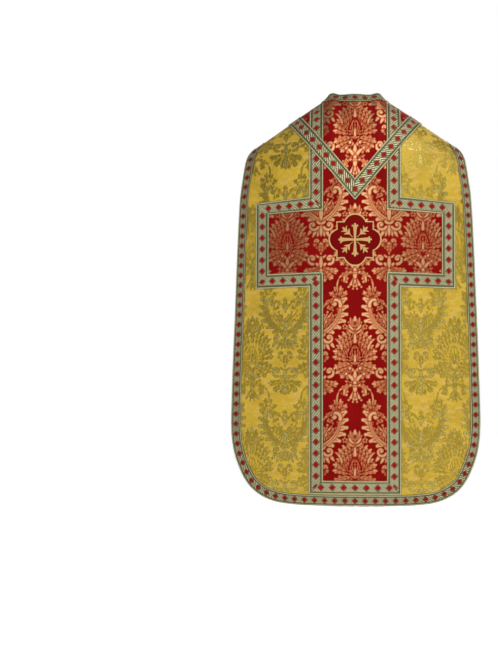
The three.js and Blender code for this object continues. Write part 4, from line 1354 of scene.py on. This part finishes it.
@dataclass
class Medallion:
    """The embroidered medallion: a corded outline of lobes and barbs round a plain cross with leaves."""

    ARM = (Frond(0, 0, 0, 36, 0, 6, 4, 11), Dot(6.5, 38, 2.6), Dot(-6.5, 38, 2.6), Dot(0, 42, 3.2),
           Frond(7, 7, 26, 26, 0.0, 2.0, 1.6, 1.6), Frond(14, 15, 15, 29, -0.3, 2.0, 6.0, 1.0),
           Frond(15, 14, 29, 15, 0.3, 2.0, 6.0, 1.0), Frond(22, 22, 34, 34, 0, 2.0, 7.0, 1.2),
           Frond(21, 23, 22, 37, -0.3, 1.8, 4.4, 1.0), Frond(23, 21, 37, 22, 0.3, 1.8, 4.4, 1.0))

    cutter: Cutter
    z: float = -403.0
    lobe_at: float = 40.5
    lobe: float = 31.5
    barb: float = 50.5
    cord: float = 3.8

    def _outline(self) -> Array:
        """The outline's (u, v) points round the centre."""
        shut = math.asin((self.barb - self.lobe_at) / self.lobe)
        turns = shut + np.linspace(0, 1, 50) * (math.pi - 2 * shut)
        arc = np.stack([self.lobe * np.cos(turns), self.lobe_at + self.lobe * np.sin(turns)], 1)
        side = np.linspace((self.barb, self.barb), arc[0], 14)[:-1]
        other = np.linspace(arc[-1], (-self.barb, self.barb), 14)[1:-1]
        made = quarters(np.vstack([side, arc, other]))
        return np.vstack([*made, made[0][:1]])

    def _emblem(self) -> Array:
        """Circles that fill the cross and the leaves round it."""
        arm = np.vstack([figure.ink for shape in self.ARM for figure in shape.figures()])
        return np.vstack([np.hstack([turned, arm[:, 2:]]) for turned in quarters(arm[:, :2])])

    def build(self, stuff: Stuff) -> Pieces:
        """Build the medallion."""
        outline = self._outline()
        shares = np.concatenate([np.linspace(0.01, 0.93, 64), np.linspace(0.94, 1, 9)])
        uv = outline[:, None, :] * shares[None, :, None]
        off = np.full(uv.shape[:2], 9.0)
        for x, v, radius in self._emblem():
            off = np.minimum(off, np.hypot(uv[..., 0] - x, uv[..., 1] - v) - radius)
        radius = np.linalg.norm(outline, axis=1)[:, None]
        margin = (1 - shares[None, :]) * radius * 0.93
        cord = np.sqrt(np.clip(1 - ((margin - self.cord / 2) / (self.cord / 2)) ** 2, 0, 1))
        raised = smooth(0.5, -1.6, off)
        rise = 1.3 * cord + 0.9 * raised + 0.5 * (1 - shares[None, :] ** 2)
        mark = np.maximum(smooth(0.35, -0.35, off), np.where(cord > 0.05, 2.0, 0.0))
        corners = np.stack([outline[:, 0], self.z + outline[:, 1]], 1)
        sheet = Sheet("back_medallion_work", self.cutter)
        far = self.cutter.drape.at_height(Side.BACK, corners)
        near = np.repeat(self.cutter.drape.at_height(Side.BACK, np.array([[0.0, self.z]])), len(far), 0)
        sheet.loft(near, far, shares, WORK_AT, rise, mark, uv)
        sheet.weld()
        ring = [edge for edge in sheet.bm.edges if edge.is_boundary]
        ring = [edge for edge in ring if all(abs(v.co.x) < 0.004 and abs(v.co.z - self.z * MM) < 0.004
                                             for v in edge.verts)]
        bmesh.ops.contextual_create(sheet.bm, geom=ring)
        return sheet.finish(stuff, "back_medallion")


# The stage


@dataclass(frozen=True)
class Lamp:
    """A soft white light: its place, size and power."""

    name: str
    place: tuple[float, float, float]
    size: float
    power: float


@dataclass
class Stage:
    """The pale floor, the lights and the camera."""

    centre: float = -0.56
    floor: float = -1.62
    distance: float = 4.2
    eye: float = -0.634
    pan: float = 4.06
    lens: float = 82.7
    ambient: float = 0.32
    floor_glow: float = 0.7
    lamps: tuple[Lamp, ...] = (
        Lamp("key", (-2.2, 2.9, 1.6), 1.5, 11.0), Lamp("side", (-2.6, 3.1, 0.0), 1.3, 3.0),
        Lamp("front", (-0.1, 4.4, 0.6), 1.2, 23.5),
        Lamp("high", (-0.2, 3.3, 2.0), 1.9, 28.0), Lamp("over", (-1.5, 1.1, 2.0), 2.4, 33.0),
        Lamp("behind", (-1.2, -3.4, 0.6), 2.4, 36.0),
    )

    def _room(self) -> bpy.types.World:
        """A white backdrop all round, which gives the garment only part of its light."""
        world = bpy.data.worlds.new("room")
        world.use_nodes = True
        tree = world.node_tree
        share = tree.nodes.new("ShaderNodeMapRange")
        share.inputs[3].default_value, share.inputs[4].default_value = self.ambient, 1.0
        tree.links.new(tree.nodes.new("ShaderNodeLightPath").outputs["Is Camera Ray"], share.inputs[0])
        tree.links.new(share.outputs[0], tree.nodes["Background"].inputs[1])
        tree.nodes["Background"].inputs[0].default_value = (1, 1, 1, 1)
        return world

    def _floor(self) -> None:
        """A pale floor that glows as white as the backdrop."""
        bm = bmesh.new()
        bmesh.ops.create_grid(bm, x_segments=2, y_segments=2, size=9.0)
        bmesh.ops.translate(bm, verts=bm.verts[:], vec=(0, 0, self.floor))
        mesh = bpy.data.meshes.new("floor")
        bm.to_mesh(mesh)
        bm.free()
        paint = Recipe("floor")
        for name, value in (("Base Color", (0.9, 0.9, 0.9, 1)), ("Roughness", 0.9),
                            ("Emission Color", (1, 1, 1, 1)), ("Emission Strength", self.floor_glow)):
            paint.link(name, value)
        mesh.materials.append(paint.material)
        self._place("floor", mesh, (0, 0, 0))

    @staticmethod
    def _place(name: str, data: bpy.types.ID, at: Sequence[float]) -> Object:
        """Put a new object into the scene."""
        made = bpy.data.objects.new(name, data)
        bpy.context.scene.collection.objects.link(made)
        made.location = at
        return made

    @staticmethod
    def _aim(item: Object, way: Vector) -> None:
        """Turn a lamp or the camera towards a direction."""
        item.rotation_euler = way.to_track_quat("-Z", "Y").to_euler()

    def build(self) -> None:
        """Build them all."""
        scene = bpy.context.scene
        self._floor()
        scene.world = self._room()
        for lamp in self.lamps:
            light = bpy.data.lights.new(lamp.name, "AREA")
            light.shape, light.size, light.energy = "SQUARE", lamp.size, lamp.power
            made = self._place(lamp.name, light, lamp.place)
            self._aim(made, Vector((0, 0, self.centre)) - made.location)
        camera = bpy.data.cameras.new("camera")
        camera.lens, camera.sensor_width, camera.clip_end = self.lens, 36.0, 50.0
        eye = self._place("camera", camera, (0, self.distance, self.eye))
        pan = math.radians(self.pan)
        self._aim(eye, Vector((math.sin(pan), -math.cos(pan), 0)))
        scene.camera = eye
        scene.view_settings.view_transform = "Standard"


@dataclass(frozen=True)
class Cut:
    """The flat size in metres that a piece was cut to, the share of it that it fills, and its trims."""

    width: float
    length: float
    share: float = 1.0
    trims: tuple[str, ...] = ()


def main() -> None:
    """Build the chasuble, class by class, and its stage."""
    logging.basicConfig(level=logging.INFO, format="%(message)s")
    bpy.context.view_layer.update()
    Stage().build()
    cutter, damask = Cutter(Drape()), Damask()
    galloons = [Stuff(finish.make(), "galloon", wall=0.9) for finish in (WIDE_GALLOON, EDGE_GALLOON)]
    red = Stuff(RED_DAMASK.make(), "red_damask", turned=0.8)
    pieces = Walls(cutter, damask).build(Stuff(GOLD_DAMASK.make(), "gold_damask", turned=1.7),
                                         Stuff(LINING.make(), "lining", wall=0.9))
    pieces |= BackOrphrey(cutter, damask).build(red, galloons[0])
    pieces |= FrontOrphrey(cutter, damask).build(red, galloons[0])
    pieces |= EdgeGalloons(cutter).build(galloons[1])
    pieces |= Medallion(cutter).build(Stuff(MEDALLION.make(), "medallion", wall=1.0))


if __name__ == "__main__":
    main()
